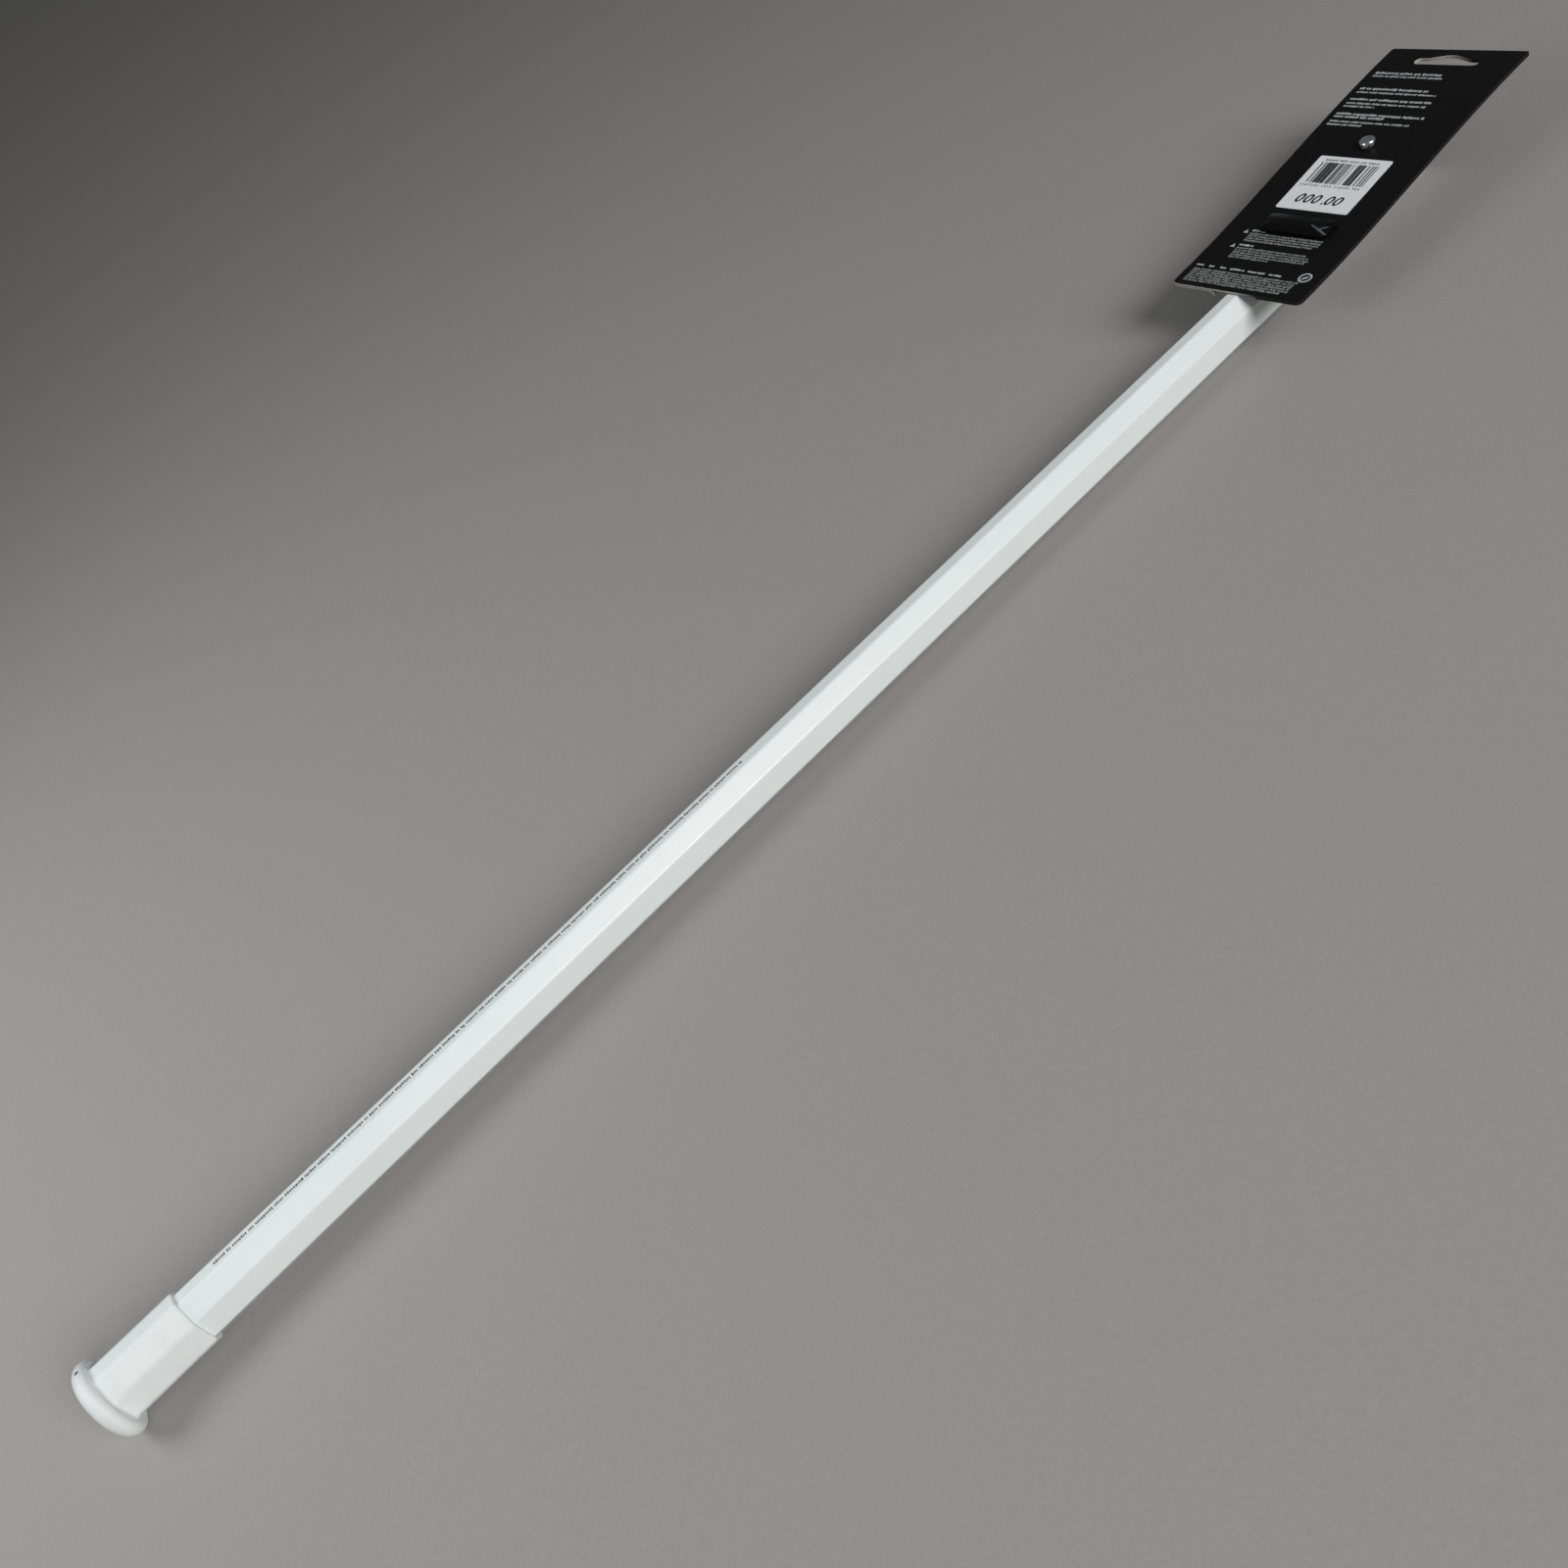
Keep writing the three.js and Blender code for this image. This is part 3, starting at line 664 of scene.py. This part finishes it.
def flange_rings():
    """The mushroom flange, turned about the X axis: its rim is rounder on the butt's side."""
    butt, inner = FLANGE_BUTT_ROUND, FLANGE_THICKNESS - FLANGE_BUTT_ROUND
    profile = [(0, FLANGE_RADIUS * 0.3), (0, FLANGE_RADIUS * 0.6)]
    profile += arc((butt, FLANGE_RADIUS - butt), butt, 180, 90, 14)
    profile += arc((butt, FLANGE_RADIUS - inner), inner, 90, 0, 10)[1:]
    profile += [(FLANGE_THICKNESS, FLANGE_RADIUS * 0.5)]
    return [[(x, y, z) for y, z, _ in circle_ring(radius, 0, 144)] for x, radius in profile]


def sleeve_stations():
    """The cap's sleeve, from inside the flange over its fillet to the round lip."""
    outer = CAP_FIT_GAP + CAP_WALL
    stations = [(FLANGE_THICKNESS / 2, outer + CAP_FILLET)]
    for x, grown in arc((FLANGE_THICKNESS + CAP_FILLET, CAP_FILLET), CAP_FILLET, 180, 270, 8):
        stations.append((x, outer + grown))
    stations += round_end(CAP_HIGH.x, -1, CAP_LIP_RADIUS, outer, 6)
    stations.append((CAP_HIGH.x, CAP_LIP_GAP))
    return stations


def socket_stations():
    """The cap's socket, from its end wall to its mouth, where a lip closes on the tube."""
    mouth, lip = CAP_HIGH.x, CAP_LIP_LENGTH
    return [(CAP_END_WALL, CAP_FIT_GAP), (mouth - 2 * lip, CAP_FIT_GAP),
            (mouth - lip, CAP_LIP_GAP), (mouth + lip, CAP_LIP_GAP)]


def make_cap(material):
    flange = bmesh.new()
    skin(flange, flange_rings())
    cap = mesh_object("butt_cap_rubber", flange, (material,))

    sleeve = bmesh.new()
    skin(sleeve, octagon_stations(sleeve_stations()))
    combine(cap, "UNION", [mesh_object("sleeve", sleeve, (material,))])

    socket = bmesh.new()
    skin(socket, octagon_stations(socket_stations()))
    nick = bmesh.new()
    bmesh.ops.create_icosphere(nick, subdivisions=3, radius=CAP_NICK_RADIUS)
    bmesh.ops.scale(nick, vec=(1.1, 0.8, 0.9), verts=nick.verts)
    bmesh.ops.translate(nick, vec=nick_centre(), verts=nick.verts)
    combine(cap, "DIFFERENCE", [mesh_object("socket", socket, (material,)),
                                mesh_object("nick", nick, (material,))])
    return settle(cap, "cap", ["butt_cap"], sharp_degrees=50)


# ---------------------------------------------------------------- head screw

SCREW_SIDES = 48


def head_rings():
    """The pan head, from its crown to its seat: a squared-off dome over a short skirt."""
    skirt, chamfer = 0.5, 0.2
    roundness = 2 / 3.1
    steps = 18
    rings = []
    for k in range(1, steps + 1):
        lean = math.pi / 2 * k / steps
        radius = SCREW_HEAD_RADIUS * math.sin(lean) ** roundness
        height = skirt + (SCREW_HEAD_HEIGHT - skirt) * max(math.cos(lean), 0) ** roundness
        rings.append(circle_ring(radius, height, SCREW_SIDES))
    rings.append(circle_ring(SCREW_HEAD_RADIUS, chamfer, SCREW_SIDES))
    rings.append(circle_ring(SCREW_HEAD_RADIUS - chamfer, 0, SCREW_SIDES))
    return rings


def thread_rings():
    """The shank from seat to tip. Its radius follows the thread's helix and shrinks at the tip."""
    blunt, sharpness, rows_per_turn = 0.2, 2.6, 14
    angles = [2 * math.pi * i / SCREW_SIDES for i in range(SCREW_SIDES)]
    length = SCREW_SEAT - SCREW_LOW.z
    rows = int(length / SCREW_PITCH * rows_per_turn)
    rings = []
    for row in range(rows + 1):
        down = length * row / rows
        tip = min(1, max(blunt, (length - down) / SCREW_TIP_LENGTH))
        depth = (SCREW_THREAD_RADIUS - SCREW_ROOT_RADIUS) * min(1, down / SCREW_RUN_OUT)
        ring = []
        for angle in angles:
            phase = (down / SCREW_PITCH + angle / (2 * math.pi)) % 1
            crest = max(0, 1 - sharpness * abs(phase - 0.5))
            radius = (SCREW_ROOT_RADIUS + depth * crest) * tip
            ring.append((radius * math.cos(angle), radius * math.sin(angle), -down))
        rings.append(ring)
    return rings


def cross_ring(reach, half_width, z):
    """The plus-shaped outline of the driver's recess."""
    quarter = [(reach, -half_width), (reach, half_width), (half_width, half_width)]
    ring = []
    for turn in range(4):
        spin = Matrix.Rotation(RECESS_TURN + turn * math.pi / 2, 2)
        ring += [(*(spin @ Vector(point)), z) for point in quarter]
    return ring


def recess_rings():
    """The recess narrows from above the crown to a small point under its floor."""
    floor = SCREW_HEAD_HEIGHT - RECESS_DEPTH
    return [cross_ring(RECESS_REACH * 0.25, 0.25, floor - 0.35),
            cross_ring(RECESS_REACH * 0.5, 0.4, floor),
            cross_ring(RECESS_REACH * 1.1, RECESS_HALF_WIDTH, SCREW_HEAD_HEIGHT + 0.3)]


def make_screw(material):
    bm = bmesh.new()
    skin(bm, head_rings() + thread_rings())
    screw = mesh_object("plated_screw", bm, (material,))
    recess = bmesh.new()
    skin(recess, recess_rings())
    combine(screw, "DIFFERENCE", [mesh_object("recess", recess, (material,))])
    screw.data.transform(Matrix.Translation((SCREW_X, 0, SCREW_SEAT)))
    return settle(screw, "screw", ["head_screw"], sharp_degrees=30)


# ---------------------------------------------------------------- header card

def card_height(x, y):
    """Height of the front ply's lower face: the card rises to the hang hole in a shallow S."""
    along = min(1, max(0, (x - CARD_LOW.x) / (CARD_HIGH.x - CARD_LOW.x)))
    eased = along * along * (3 - 2 * along)
    return CARD_FOOT + CARD_RISE * (along + (eased - along) * CARD_BEND) + CARD_TILT * y


def follow_card(bm):
    for vert in bm.verts:
        vert.co.z += card_height(vert.co.x, vert.co.y)


def card_outline(slot=False):
    """Outline of a ply. A slot opens it where the tube lies, with a tab to curl on its left."""
    low, high = CARD_LOW, CARD_HIGH
    foot, head = CARD_BOTTOM_RADIUS, CARD_TOP_RADIUS
    points = arc((high.x - head, low.y + head), head, -90, 0, 5)
    frayed = arc((high.x - head, high.y - head), head, 0, 90, 9)
    rng = random.Random(4)
    fray = 0.35
    points += [(x - rng.uniform(0, fray), y - rng.uniform(0, fray)) for x, y in frayed]
    points += arc((low.x + foot, high.y - foot), foot, 90, 180, 8)
    if slot:
        straight = SLOT_END - SLOT_HALF_WIDTH
        points += [(low.x, SLOT_HALF_WIDTH - TAB_WIDTH), (straight, SLOT_HALF_WIDTH - TAB_WIDTH)]
        points += arc((straight, 0), SLOT_HALF_WIDTH, 90, -90, 32)
        points += [(low.x, -SLOT_HALF_WIDTH)]
    points += arc((low.x + foot, low.y + foot), foot, 180, 270, 8)
    return points


def hang_hole():
    """A long slot with round ends and a shallow peak in the middle of its upper edge."""
    radius = HANG_SLOT_HEIGHT / 2
    bottom = CARD_HIGH.x - HANG_BELOW_TOP
    reach = HANG_WIDTH / 2 - radius
    points = arc((bottom + radius, CARD_MIDDLE - reach), radius, 180, 360, 12)
    steps = 20
    for k in range(steps + 1):
        across = -HANG_PEAK_HALF_WIDTH + 2 * HANG_PEAK_HALF_WIDTH * k / steps
        share = 1 - abs(across) / HANG_PEAK_HALF_WIDTH
        lift = (HANG_PEAK_HEIGHT - HANG_SLOT_HEIGHT) * share * share * (3 - 2 * share)
        points.append((bottom + HANG_SLOT_HEIGHT + lift, CARD_MIDDLE + across))
    points += arc((bottom + radius, CARD_MIDDLE + reach), radius, 0, 180, 12)
    return points


def make_front_ply(print_black, core):
    screw_hole = arc((SCREW_X, 0), CARD_HOLE_RADIUS, 0, 360, 40)[:-1]
    levels = (0, PRINTED_SKIN, FRONT_PLY - PRINTED_SKIN, FRONT_PLY)
    bm = plate([card_outline(), hang_hole(), screw_hole], levels)
    follow_card(bm)
    ply = mesh_object("card_front", bm, (print_black, core))
    return settle(ply, "card", ["header_front_ply"])


def on_tab(vert):
    along_slot = vert.co.x <= SLOT_END - SLOT_HALF_WIDTH + 0.01
    return along_slot and 0 <= vert.co.y < SLOT_HALF_WIDTH - 1e-4


def curl(bm, top):
    """Rolls the tab on the slot's left edge down through a quarter turn, bare pulp outwards."""
    inner = LIP_DROP - BACK_PLY
    for face in bm.faces:
        if any(on_tab(vert) for vert in face.verts):
            face.material_index = 1
    for vert in bm.verts:
        if not on_tab(vert):
            continue
        angle = (SLOT_HALF_WIDTH - vert.co.y) / (LIP_DROP - BACK_PLY / 2)
        radius = inner + vert.co.z - (top - BACK_PLY)
        vert.co.y = SLOT_HALF_WIDTH - radius * math.sin(angle)
        vert.co.z = top - LIP_DROP + radius * math.cos(angle)


def make_back_ply(print_black, core):
    top = -GLUE_GAP
    bottom = top - BACK_PLY
    bends = 7
    cuts = [SLOT_HALF_WIDTH - TAB_WIDTH * k / bends for k in range(bends)]
    levels = (bottom, bottom + PRINTED_SKIN, top - GLUED_SKIN, top)
    bm = plate([card_outline(slot=True), hang_hole()], levels, cuts_y=cuts)
    curl(bm, top)
    follow_card(bm)
    ply = mesh_object("card_back", bm, (print_black, core))
    return settle(ply, "card", ["header_back_ply"])


# ---------------------------------------------------------------- price label and security tag

def rounded_rectangle(size_x, size_y, radius, side_steps=1, corner_steps=6):
    """Outline about (0, 0), with each straight side cut into side_steps."""
    end_x, end_y = size_x / 2 - radius, size_y / 2 - radius
    corners = ((end_x, end_y, 0), (-end_x, end_y, 90), (-end_x, -end_y, 180), (end_x, -end_y, 270))
    arcs = [arc((x, y), radius, turn, turn + 90, corner_steps) for x, y, turn in corners]
    points = []
    for i, corner in enumerate(arcs):
        points += corner
        leave, arrive = Vector(corner[-1]), Vector(arcs[(i + 1) % 4][0])
        points += [tuple(leave.lerp(arrive, k / side_steps)) for k in range(1, side_steps)]
    return points


def label_place(x, y):
    """Turns a point of the label, measured from its centre, into the frame."""
    turned = Matrix.Rotation(LABEL_TURN, 2) @ Vector((x, y))
    return LABEL_CENTRE.x + turned.x, LABEL_CENTRE.y + turned.y


def make_label(material):
    outline = [label_place(x, y) for x, y in rounded_rectangle(LABEL_SIZE_X, LABEL_SIZE_Y, 1)]
    bottom = FRONT_PLY + LABEL_LIFT
    bm = plate([outline], (bottom, bottom + LABEL_THICKNESS))
    follow_card(bm)
    label = mesh_object("label_sheet", bm, (material, material))
    return settle(label, "card", ["price_label"])


def crease(x, y, start, stop, height, width, peak):
    """Height of a straight ridge between two points, highest at share peak of the way."""
    start, stop = Vector(start), Vector(stop)
    run = stop - start
    share = (Vector((x, y)) - start).dot(run) / run.length_squared
    aside = (Vector((x, y)) - start - run * share).length
    reach = 1 - peak if share > peak else peak
    fade = max(0, 1 - ((share - peak) / reach) ** 2)
    return height * fade * math.exp(-((aside / width) ** 2))


def tag_rings(top):
    """Outlines of the tag from its foot to its middle: a side wall, a round edge and a low dome."""
    rounding, doming, side_steps, corner_steps = 6, 26, 90, 6
    flat, least_radius = 0.9, 0.15
    insets = [(0, 0), (0, top - 2 * TAG_EDGE_RADIUS)]
    for k in range(1, rounding + 1):
        angle = math.pi / 2 * k / rounding
        insets.append((TAG_EDGE_RADIUS * (1 - math.cos(angle)),
                       top - TAG_EDGE_RADIUS * (2 - math.sin(angle))))
    for k in range(1, doming + 1):
        share = k / doming
        insets.append((TAG_EDGE_RADIUS + (TAG_WIDTH / 2 - flat) * share,
                       top - TAG_EDGE_RADIUS * (1 - math.sin(math.pi / 2 * share))))
    rings = []
    for inset, z in insets:
        radius = max(TAG_CORNER_RADIUS - inset, least_radius)
        width, length = TAG_WIDTH - 2 * inset, TAG_LENGTH - 2 * inset
        outline = rounded_rectangle(width, length, radius, side_steps, corner_steps)
        rings.append([(x, y, z) for x, y in outline])
    return rings


def tag_ridge(x, y):
    """Height of the tag's creases: two crossing near its right end, and a weak one on its left."""
    return (crease(x, y, (0.6, -5.5), (-5.2, -18.2), 0.55, 0.5, 0.7)
            + crease(x, y, (-3.6, -11.5), (0.6, -17.2), 0.4, 0.45, 0.5)
            + crease(x, y, (5.2, 8), (4.4, 17), 0.3, 0.7, 0.5))


def make_tag(film, creased):
    """The tag's black film, creased on top and laid on the card's slope."""
    lift = TAG_WIDTH * 0.1
    top = TAG_HIGH.z - TAG_LOW.z - lift
    bm = bmesh.new()
    skin(bm, tag_rings(top))
    ridge = {}
    for vert in bm.verts:
        x, y, z = vert.co
        ridge[vert] = tag_ridge(x, y) if z > top - 1.5 * TAG_EDGE_RADIUS else 0
        vert.co.z += min(lift, ridge[vert])
    # Ridge faces at the right end take the pale film, a painted highlight along the creases.
    highlight_bend = 0.2
    for face in bm.faces:
        bent = sum(ridge[vert] for vert in face.verts) / len(face.verts)
        face.material_index = int(bent > highlight_bend and face.calc_center_median().y < 0)
    slope_x = (card_height(TAG_CENTRE.x + 1, 0) - card_height(TAG_CENTRE.x - 1, 0)) / 2
    for vert in bm.verts:
        vert.co.z += slope_x * vert.co.x + CARD_TILT * vert.co.y
        vert.co += Vector((TAG_CENTRE.x, TAG_CENTRE.y, 0))
    base = card_height(TAG_CENTRE.x, TAG_CENTRE.y) + FRONT_PLY
    bmesh.ops.translate(bm, vec=(0, 0, base), verts=bm.verts)
    tag = mesh_object("tag_shell", bm, (film, creased))
    return settle(tag, "card", ["tag_housing"], sharp_degrees=60)


# ---------------------------------------------------------------- print

class Page:
    """A printed face. Places on it are millimetres to the right of and down from its corner."""

    def __init__(self, corner, right, height):
        self.corner = Vector(corner)
        self.right = Vector(right).normalized()
        self.down = Vector((self.right.y, -self.right.x))
        self.height = height
        self.bm = bmesh.new()

    def lifted(self, right, down, above):
        spot = self.corner + self.right * right + self.down * down
        return (spot.x, spot.y, self.height(spot.x, spot.y) + above)

    def patch(self, outline):
        """A thin closed patch of ink with this outline of (right, down) points."""
        low = [self.bm.verts.new(self.lifted(*point, -INK_SINK)) for point in outline]
        high = [self.bm.verts.new(self.lifted(*point, INK_THICKNESS)) for point in outline]
        self.bm.faces.new(low)
        self.bm.faces.new(high[::-1])
        for i in range(len(outline)):
            j = (i + 1) % len(outline)
            self.bm.faces.new((low[i], high[i], high[j], low[j]))

    def block(self, left, right, top, bottom):
        self.patch([(left, top), (right, top), (right, bottom), (left, bottom)])

    def ring(self, centre, half_width, half_height, stroke, lean=0.0):
        """A closed oval ring; lean slants it to the right, as italics do."""
        count = 28
        walls = []
        for grown, above in ((0, -INK_SINK), (0, INK_THICKNESS),
                             (-stroke, INK_THICKNESS), (-stroke, -INK_SINK)):
            row = []
            for i in range(count):
                angle = 2 * math.pi * i / count
                across = (half_width + grown) * math.cos(angle)
                up = (half_height + grown) * math.sin(angle)
                place = self.lifted(centre[0] + across + lean * up, centre[1] - up, above)
                row.append(self.bm.verts.new(place))
            walls.append(row)
        for inner, outer in zip(walls, walls[1:] + walls[:1]):
            for i in range(count):
                j = (i + 1) % count
                self.bm.faces.new((inner[i], outer[i], outer[j], inner[j]))

    def words(self, rng, left, length, middle, size, weight=0.6, gap=0.16):
        """A row of greeked words: blocks of letter size, none of them a letter."""
        place = left
        while place < left + length - size * 0.4:
            for _ in range(rng.randint(2, 9)):
                width = size * weight * rng.uniform(0.55, 1)
                if place + width > left + length:
                    return
                top = middle - size * rng.choice((0.32, 0.32, 0.32, 0.5))
                bottom = middle + size * rng.choice((0.35, 0.35, 0.35, 0.5))
                self.block(place, place + width, top, bottom)
                place += width + size * gap
            place += size * (gap + 0.26)

    def make(self, name, material, body, slot):
        return settle(mesh_object(name, self.bm, (material,)), body)


# Rows of print above the screw: distance below the card's top edge, length, and whether bold.
UPPER_ROWS = (
    (20.1, 34.8, True), (22.6, 36.2, False),
    (32.4, 36.2, True), (35.2, 41.6, False),
    (40.5, 43.8, True), (43.5, 41.4, False), (45.8, 16.4, False),
    (51.4, 46.8, True), (53.5, 27.0, True), (56.9, 41.6, False), (59.2, 18.6, False),
)
# Paragraphs below the tag: distance of the title below the top edge, and the lengths of its rows.
PARAGRAPHS = (
    (134.2, (38.7, 38.7, 38.2, 37.1)),
    (144.3, (36.9, 38.9, 40.1, 39.6, 22.0)),
)
PARAGRAPH_LEFT = 14.8
BULLET_LEFT = 10.9
# Short marks in a row near the foot: distance from the left edge, and length.
FOOT_MARKS = ((3.3, 4.6), (10.3, 3.4), (16.2, 3.8), (21.9, 7.7), (31.3, 9.5), (42.5, 7))
FOOT_MARKS_DOWN = 160.8
# Centre of the round badge at the foot: distance from the left edge and below the top edge.
FOOT_BADGE = (60.3, 159.5)
# Groups of bars on the label: where each starts and stops across it, and how much of it is black.
BAR_GROUPS = (
    (0.10, 0.125, 0.55), (0.15, 0.17, 0.95), (0.185, 0.34, 0.87),
    (0.36, 0.425, 0.75), (0.44, 0.525, 0.62), (0.545, 0.575, 0.35),
    (0.61, 0.72, 0.85), (0.75, 0.775, 0.6), (0.80, 0.885, 0.5),
)


def front_page(lean=0):
    """A page on the card's front, from its upper left corner. Rows drop by lean as they run."""
    corner = (CARD_HIGH.x, CARD_HIGH.y)
    return Page(corner, (-lean, -1), lambda x, y: card_height(x, y) + FRONT_PLY)


def print_card(material):
    """The bold print on the front of the card, greeked."""
    rng = random.Random(11)
    upper = front_page(lean=0.015)
    margin = 4.3
    for down, length, bold in UPPER_ROWS:
        upper.words(rng, margin, length, down, 1.75 if bold else 1.45, 0.78 if bold else 0.55)
    upper.make("card_print_upper", material, "card", "card_front")
    page = front_page()
    title_length = 8.3
    for down, _ in PARAGRAPHS:
        page.words(rng, PARAGRAPH_LEFT, title_length, down, 1.5, 0.9, 0.06)
        page.patch([(BULLET_LEFT, down + 2.1), (BULLET_LEFT + 1.3, down - 0.3),
                    (BULLET_LEFT + 2.6, down + 2.1)])
    for left, length in FOOT_MARKS:
        page.words(rng, left, length, FOOT_MARKS_DOWN, 1.3, 1.2, 0.05)
    across, down = FOOT_BADGE
    page.ring(FOOT_BADGE, 3.1, 3.1, 0.85)
    page.patch([(across - 1.4, down + 1.6), (across - 0.8, down - 0.2),
                (across + 1.4, down - 1.4), (across + 0.8, down + 0.5)])
    return page.make("card_print", material, "card", "card_front")


def print_card_small(material):
    """The small print on the front of the card: two paragraphs and a dense block at the foot."""
    rng = random.Random(17)
    page = front_page()
    row_pitch = 1.57
    for title, lengths in PARAGRAPHS:
        for row, length in enumerate(lengths):
            down = title + 2.1 + row * row_pitch
            page.words(rng, PARAGRAPH_LEFT, length, down, 1.3, 0.7, 0.08)
    dense_rows, dense_top, dense_pitch, dense_left = 6, 163.7, 1.6, 3.8
    for row in range(dense_rows):
        length = 55.6 if row < dense_rows - 1 else 53
        page.words(rng, dense_left, length, dense_top + row * dense_pitch, 1.5, 0.8, 0.12)
    return page.make("card_small_print", material, "card", "card_front")


def print_bars(page, rng):
    """The label's groups of bars, each of one to three widths of the thinnest."""
    top, bottom = LABEL_SIZE_X * 0.115, LABEL_SIZE_X * 0.5
    thinnest = 0.34
    for start, stop, black in BAR_GROUPS:
        place, end = start * LABEL_SIZE_Y, stop * LABEL_SIZE_Y
        while place < end:
            width = thinnest * rng.choice((1, 1, 2, 3))
            page.block(place, min(place + width, end), top, bottom)
            place += width / black


def print_price(page):
    """Rings and a dot in the place of the price's figures."""
    middle = LABEL_SIZE_X * 0.79
    half_width, half_height, stroke, lean = 1.85, 3.05, 1.1, 0.22
    ring_pitch = 4.3
    for count, left in ((3, 0.23), (2, 0.64)):
        for i in range(count):
            centre = (LABEL_SIZE_Y * left + ring_pitch * i, middle)
            page.ring(centre, half_width, half_height, stroke, lean)
    dot = LABEL_SIZE_Y * 0.555
    page.block(dot, dot + 1, middle + 2, middle + 3)


def print_label(material):
    """A heading, bars, a code row and a price, all of them meaningless blocks and rings."""
    rng = random.Random(5)
    corner = label_place(LABEL_SIZE_X / 2, LABEL_SIZE_Y / 2)
    right = (math.sin(LABEL_TURN), -math.cos(LABEL_TURN))
    top_face = FRONT_PLY + LABEL_LIFT + LABEL_THICKNESS
    page = Page(corner, right, lambda x, y: card_height(x, y) + top_face)
    heading, code = LABEL_SIZE_X * 0.07, LABEL_SIZE_X * 0.545
    page.words(rng, LABEL_SIZE_Y * 0.12, LABEL_SIZE_Y * 0.75, heading, 1.5, 0.5, 0.3)
    print_bars(page, rng)
    page.words(rng, LABEL_SIZE_Y * 0.06, LABEL_SIZE_Y * 0.84, code, 1.7, 0.35, 0.5)
    print_price(page)
    return page.make("label_print", material, "card", "label_paper")


def print_tube(material):
    """One fine row of print along the tube's top facet."""
    start, length = 58, 262
    page = Page((start, 0.25), (1, 0), lambda x, y: TUBE_HIGH.z)
    page.words(random.Random(23), 0, length, 0, 1.5, 0.55)
    return page.make("tube_print", material, "shaft", "shaft_paint")


# ---------------------------------------------------------------- floor, lights and camera

def floor_height(x):
    """The shaft rests on the flange's rim and its head end, so the floor leans a little."""
    touch, clearance = FLANGE_THICKNESS / 2, 0.05
    slope = (TUBE_LOW.z - CAP_LOW.z) / (TUBE_HIGH.x - touch)
    return CAP_LOW.z + slope * (x - touch) - clearance


def make_floor():
    bm = bmesh.new()
    reach = 6000
    corners = [(x, y, floor_height(x)) for x, y in
               ((-reach, -reach), (reach, -reach), (reach, reach), (-reach, reach))]
    bm.faces.new([bm.verts.new(corner) for corner in corners])
    bmesh.ops.scale(bm, vec=(MM, MM, MM), verts=bm.verts)
    floor = mesh_object("floor", bm, (floor_finish(),))


def soft_light(name, place, aim, size, power, color):
    """A round area light of that diameter in metres and power in watts."""
    light = bpy.data.lights.new(name, "AREA")
    light.shape = "DISK"
    light.size = size
    light.energy = power
    light.color = color
    lamp = bpy.data.objects.new(name, light)
    lamp.location = place
    lamp.rotation_euler = (Vector(aim) - Vector(place)).to_track_quat("-Z", "Y").to_euler()
    bpy.context.scene.collection.objects.link(lamp)


def make_lights():
    """A large warm key on the shaft's right, a small cool light over the cap, and a dim sky."""
    middle, near_cap = (0.42, 0, 0), (0.1, 0, 0)
    soft_light("key", (0.95, -2.88, 1.79), middle, 1.7, 91, (1, 0.985, 0.965))
    soft_light("overhead", (-0.35, 0.3, 0.6), near_cap, 0.5, 3.2, (0.97, 0.985, 1))
    world = bpy.data.worlds.new("studio")
    world.use_nodes = True
    background = world.node_tree.nodes["Background"]
    background.inputs["Color"].default_value = (*SKY_TINT, 1)
    background.inputs["Strength"].default_value = 0.13
    bpy.context.scene.world = world
    bpy.context.scene.view_settings.view_transform = "Standard"


def make_camera():
    """The photograph's view: down on the shaft's right side from near its butt end, and rolled."""
    place = Vector((0.1840, -0.4205, 0.3675))
    aim = Vector((0.3245, -0.0140, 0))
    roll = math.radians(31.4)
    lens, sensor = 33.14, 36
    forward = (aim - place).normalized()
    level = forward.cross(Vector((0, 0, 1))).normalized()
    upright = level.cross(forward)
    right = level * math.cos(roll) - upright * math.sin(roll)
    up = upright * math.cos(roll) + level * math.sin(roll)
    camera = bpy.data.cameras.new("camera")
    camera.lens = lens
    camera.sensor_width = sensor
    camera.clip_start = 0.01
    viewer = bpy.data.objects.new("camera", camera)
    turn = Matrix((right, up, -forward)).transposed()
    viewer.matrix_world = Matrix.Translation(place) @ turn.to_4x4()
    bpy.context.scene.collection.objects.link(viewer)
    bpy.context.scene.camera = viewer


def dress_hidden_nodes():
    """CAD nodes that stay: the tag's pad and its strips, which show only when the tag is opened."""
    finishes = {
        "tag_adhesive_pad": hidden_foam(),
        "tag_bias_magnet": rolled_strip("magnet_strip", MAGNET_GREY),
    }
    resonator = rolled_strip("resonator_strip", RESONATOR_GREY)
    for name, cad_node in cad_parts.items():
        finish = resonator if name.startswith("tag_resonator") else finishes.get(name)
        if finish:
            cad_node.material_slots[0].material = finish


def main():
    make_camera()
    make_floor()
    make_lights()
    core = board_core()
    make_shaft(enamel(), bare_metal())
    make_cap(rubber())
    make_screw(zinc())
    make_front_ply(printed_black("card_print_black", CARD_BLACK, 0.5, 0.35), core)
    make_back_ply(printed_black("card_back_black", BACK_BLACK, 0.6, 0.5), core)
    make_label(label_paper())
    make_tag(tag_film(), crease_highlight_film())
    dress_hidden_nodes()
    print_card(ink("card_ink", CARD_INK, 0.75, 1.15))
    print_card_small(ink("card_small_ink", SMALL_INK, 0.7, 1.2))
    print_label(ink("label_ink", DARK_INK, 0.7, 1.8))
    print_tube(ink("tube_ink", TUBE_INK, 0.6, 2.2))


main()
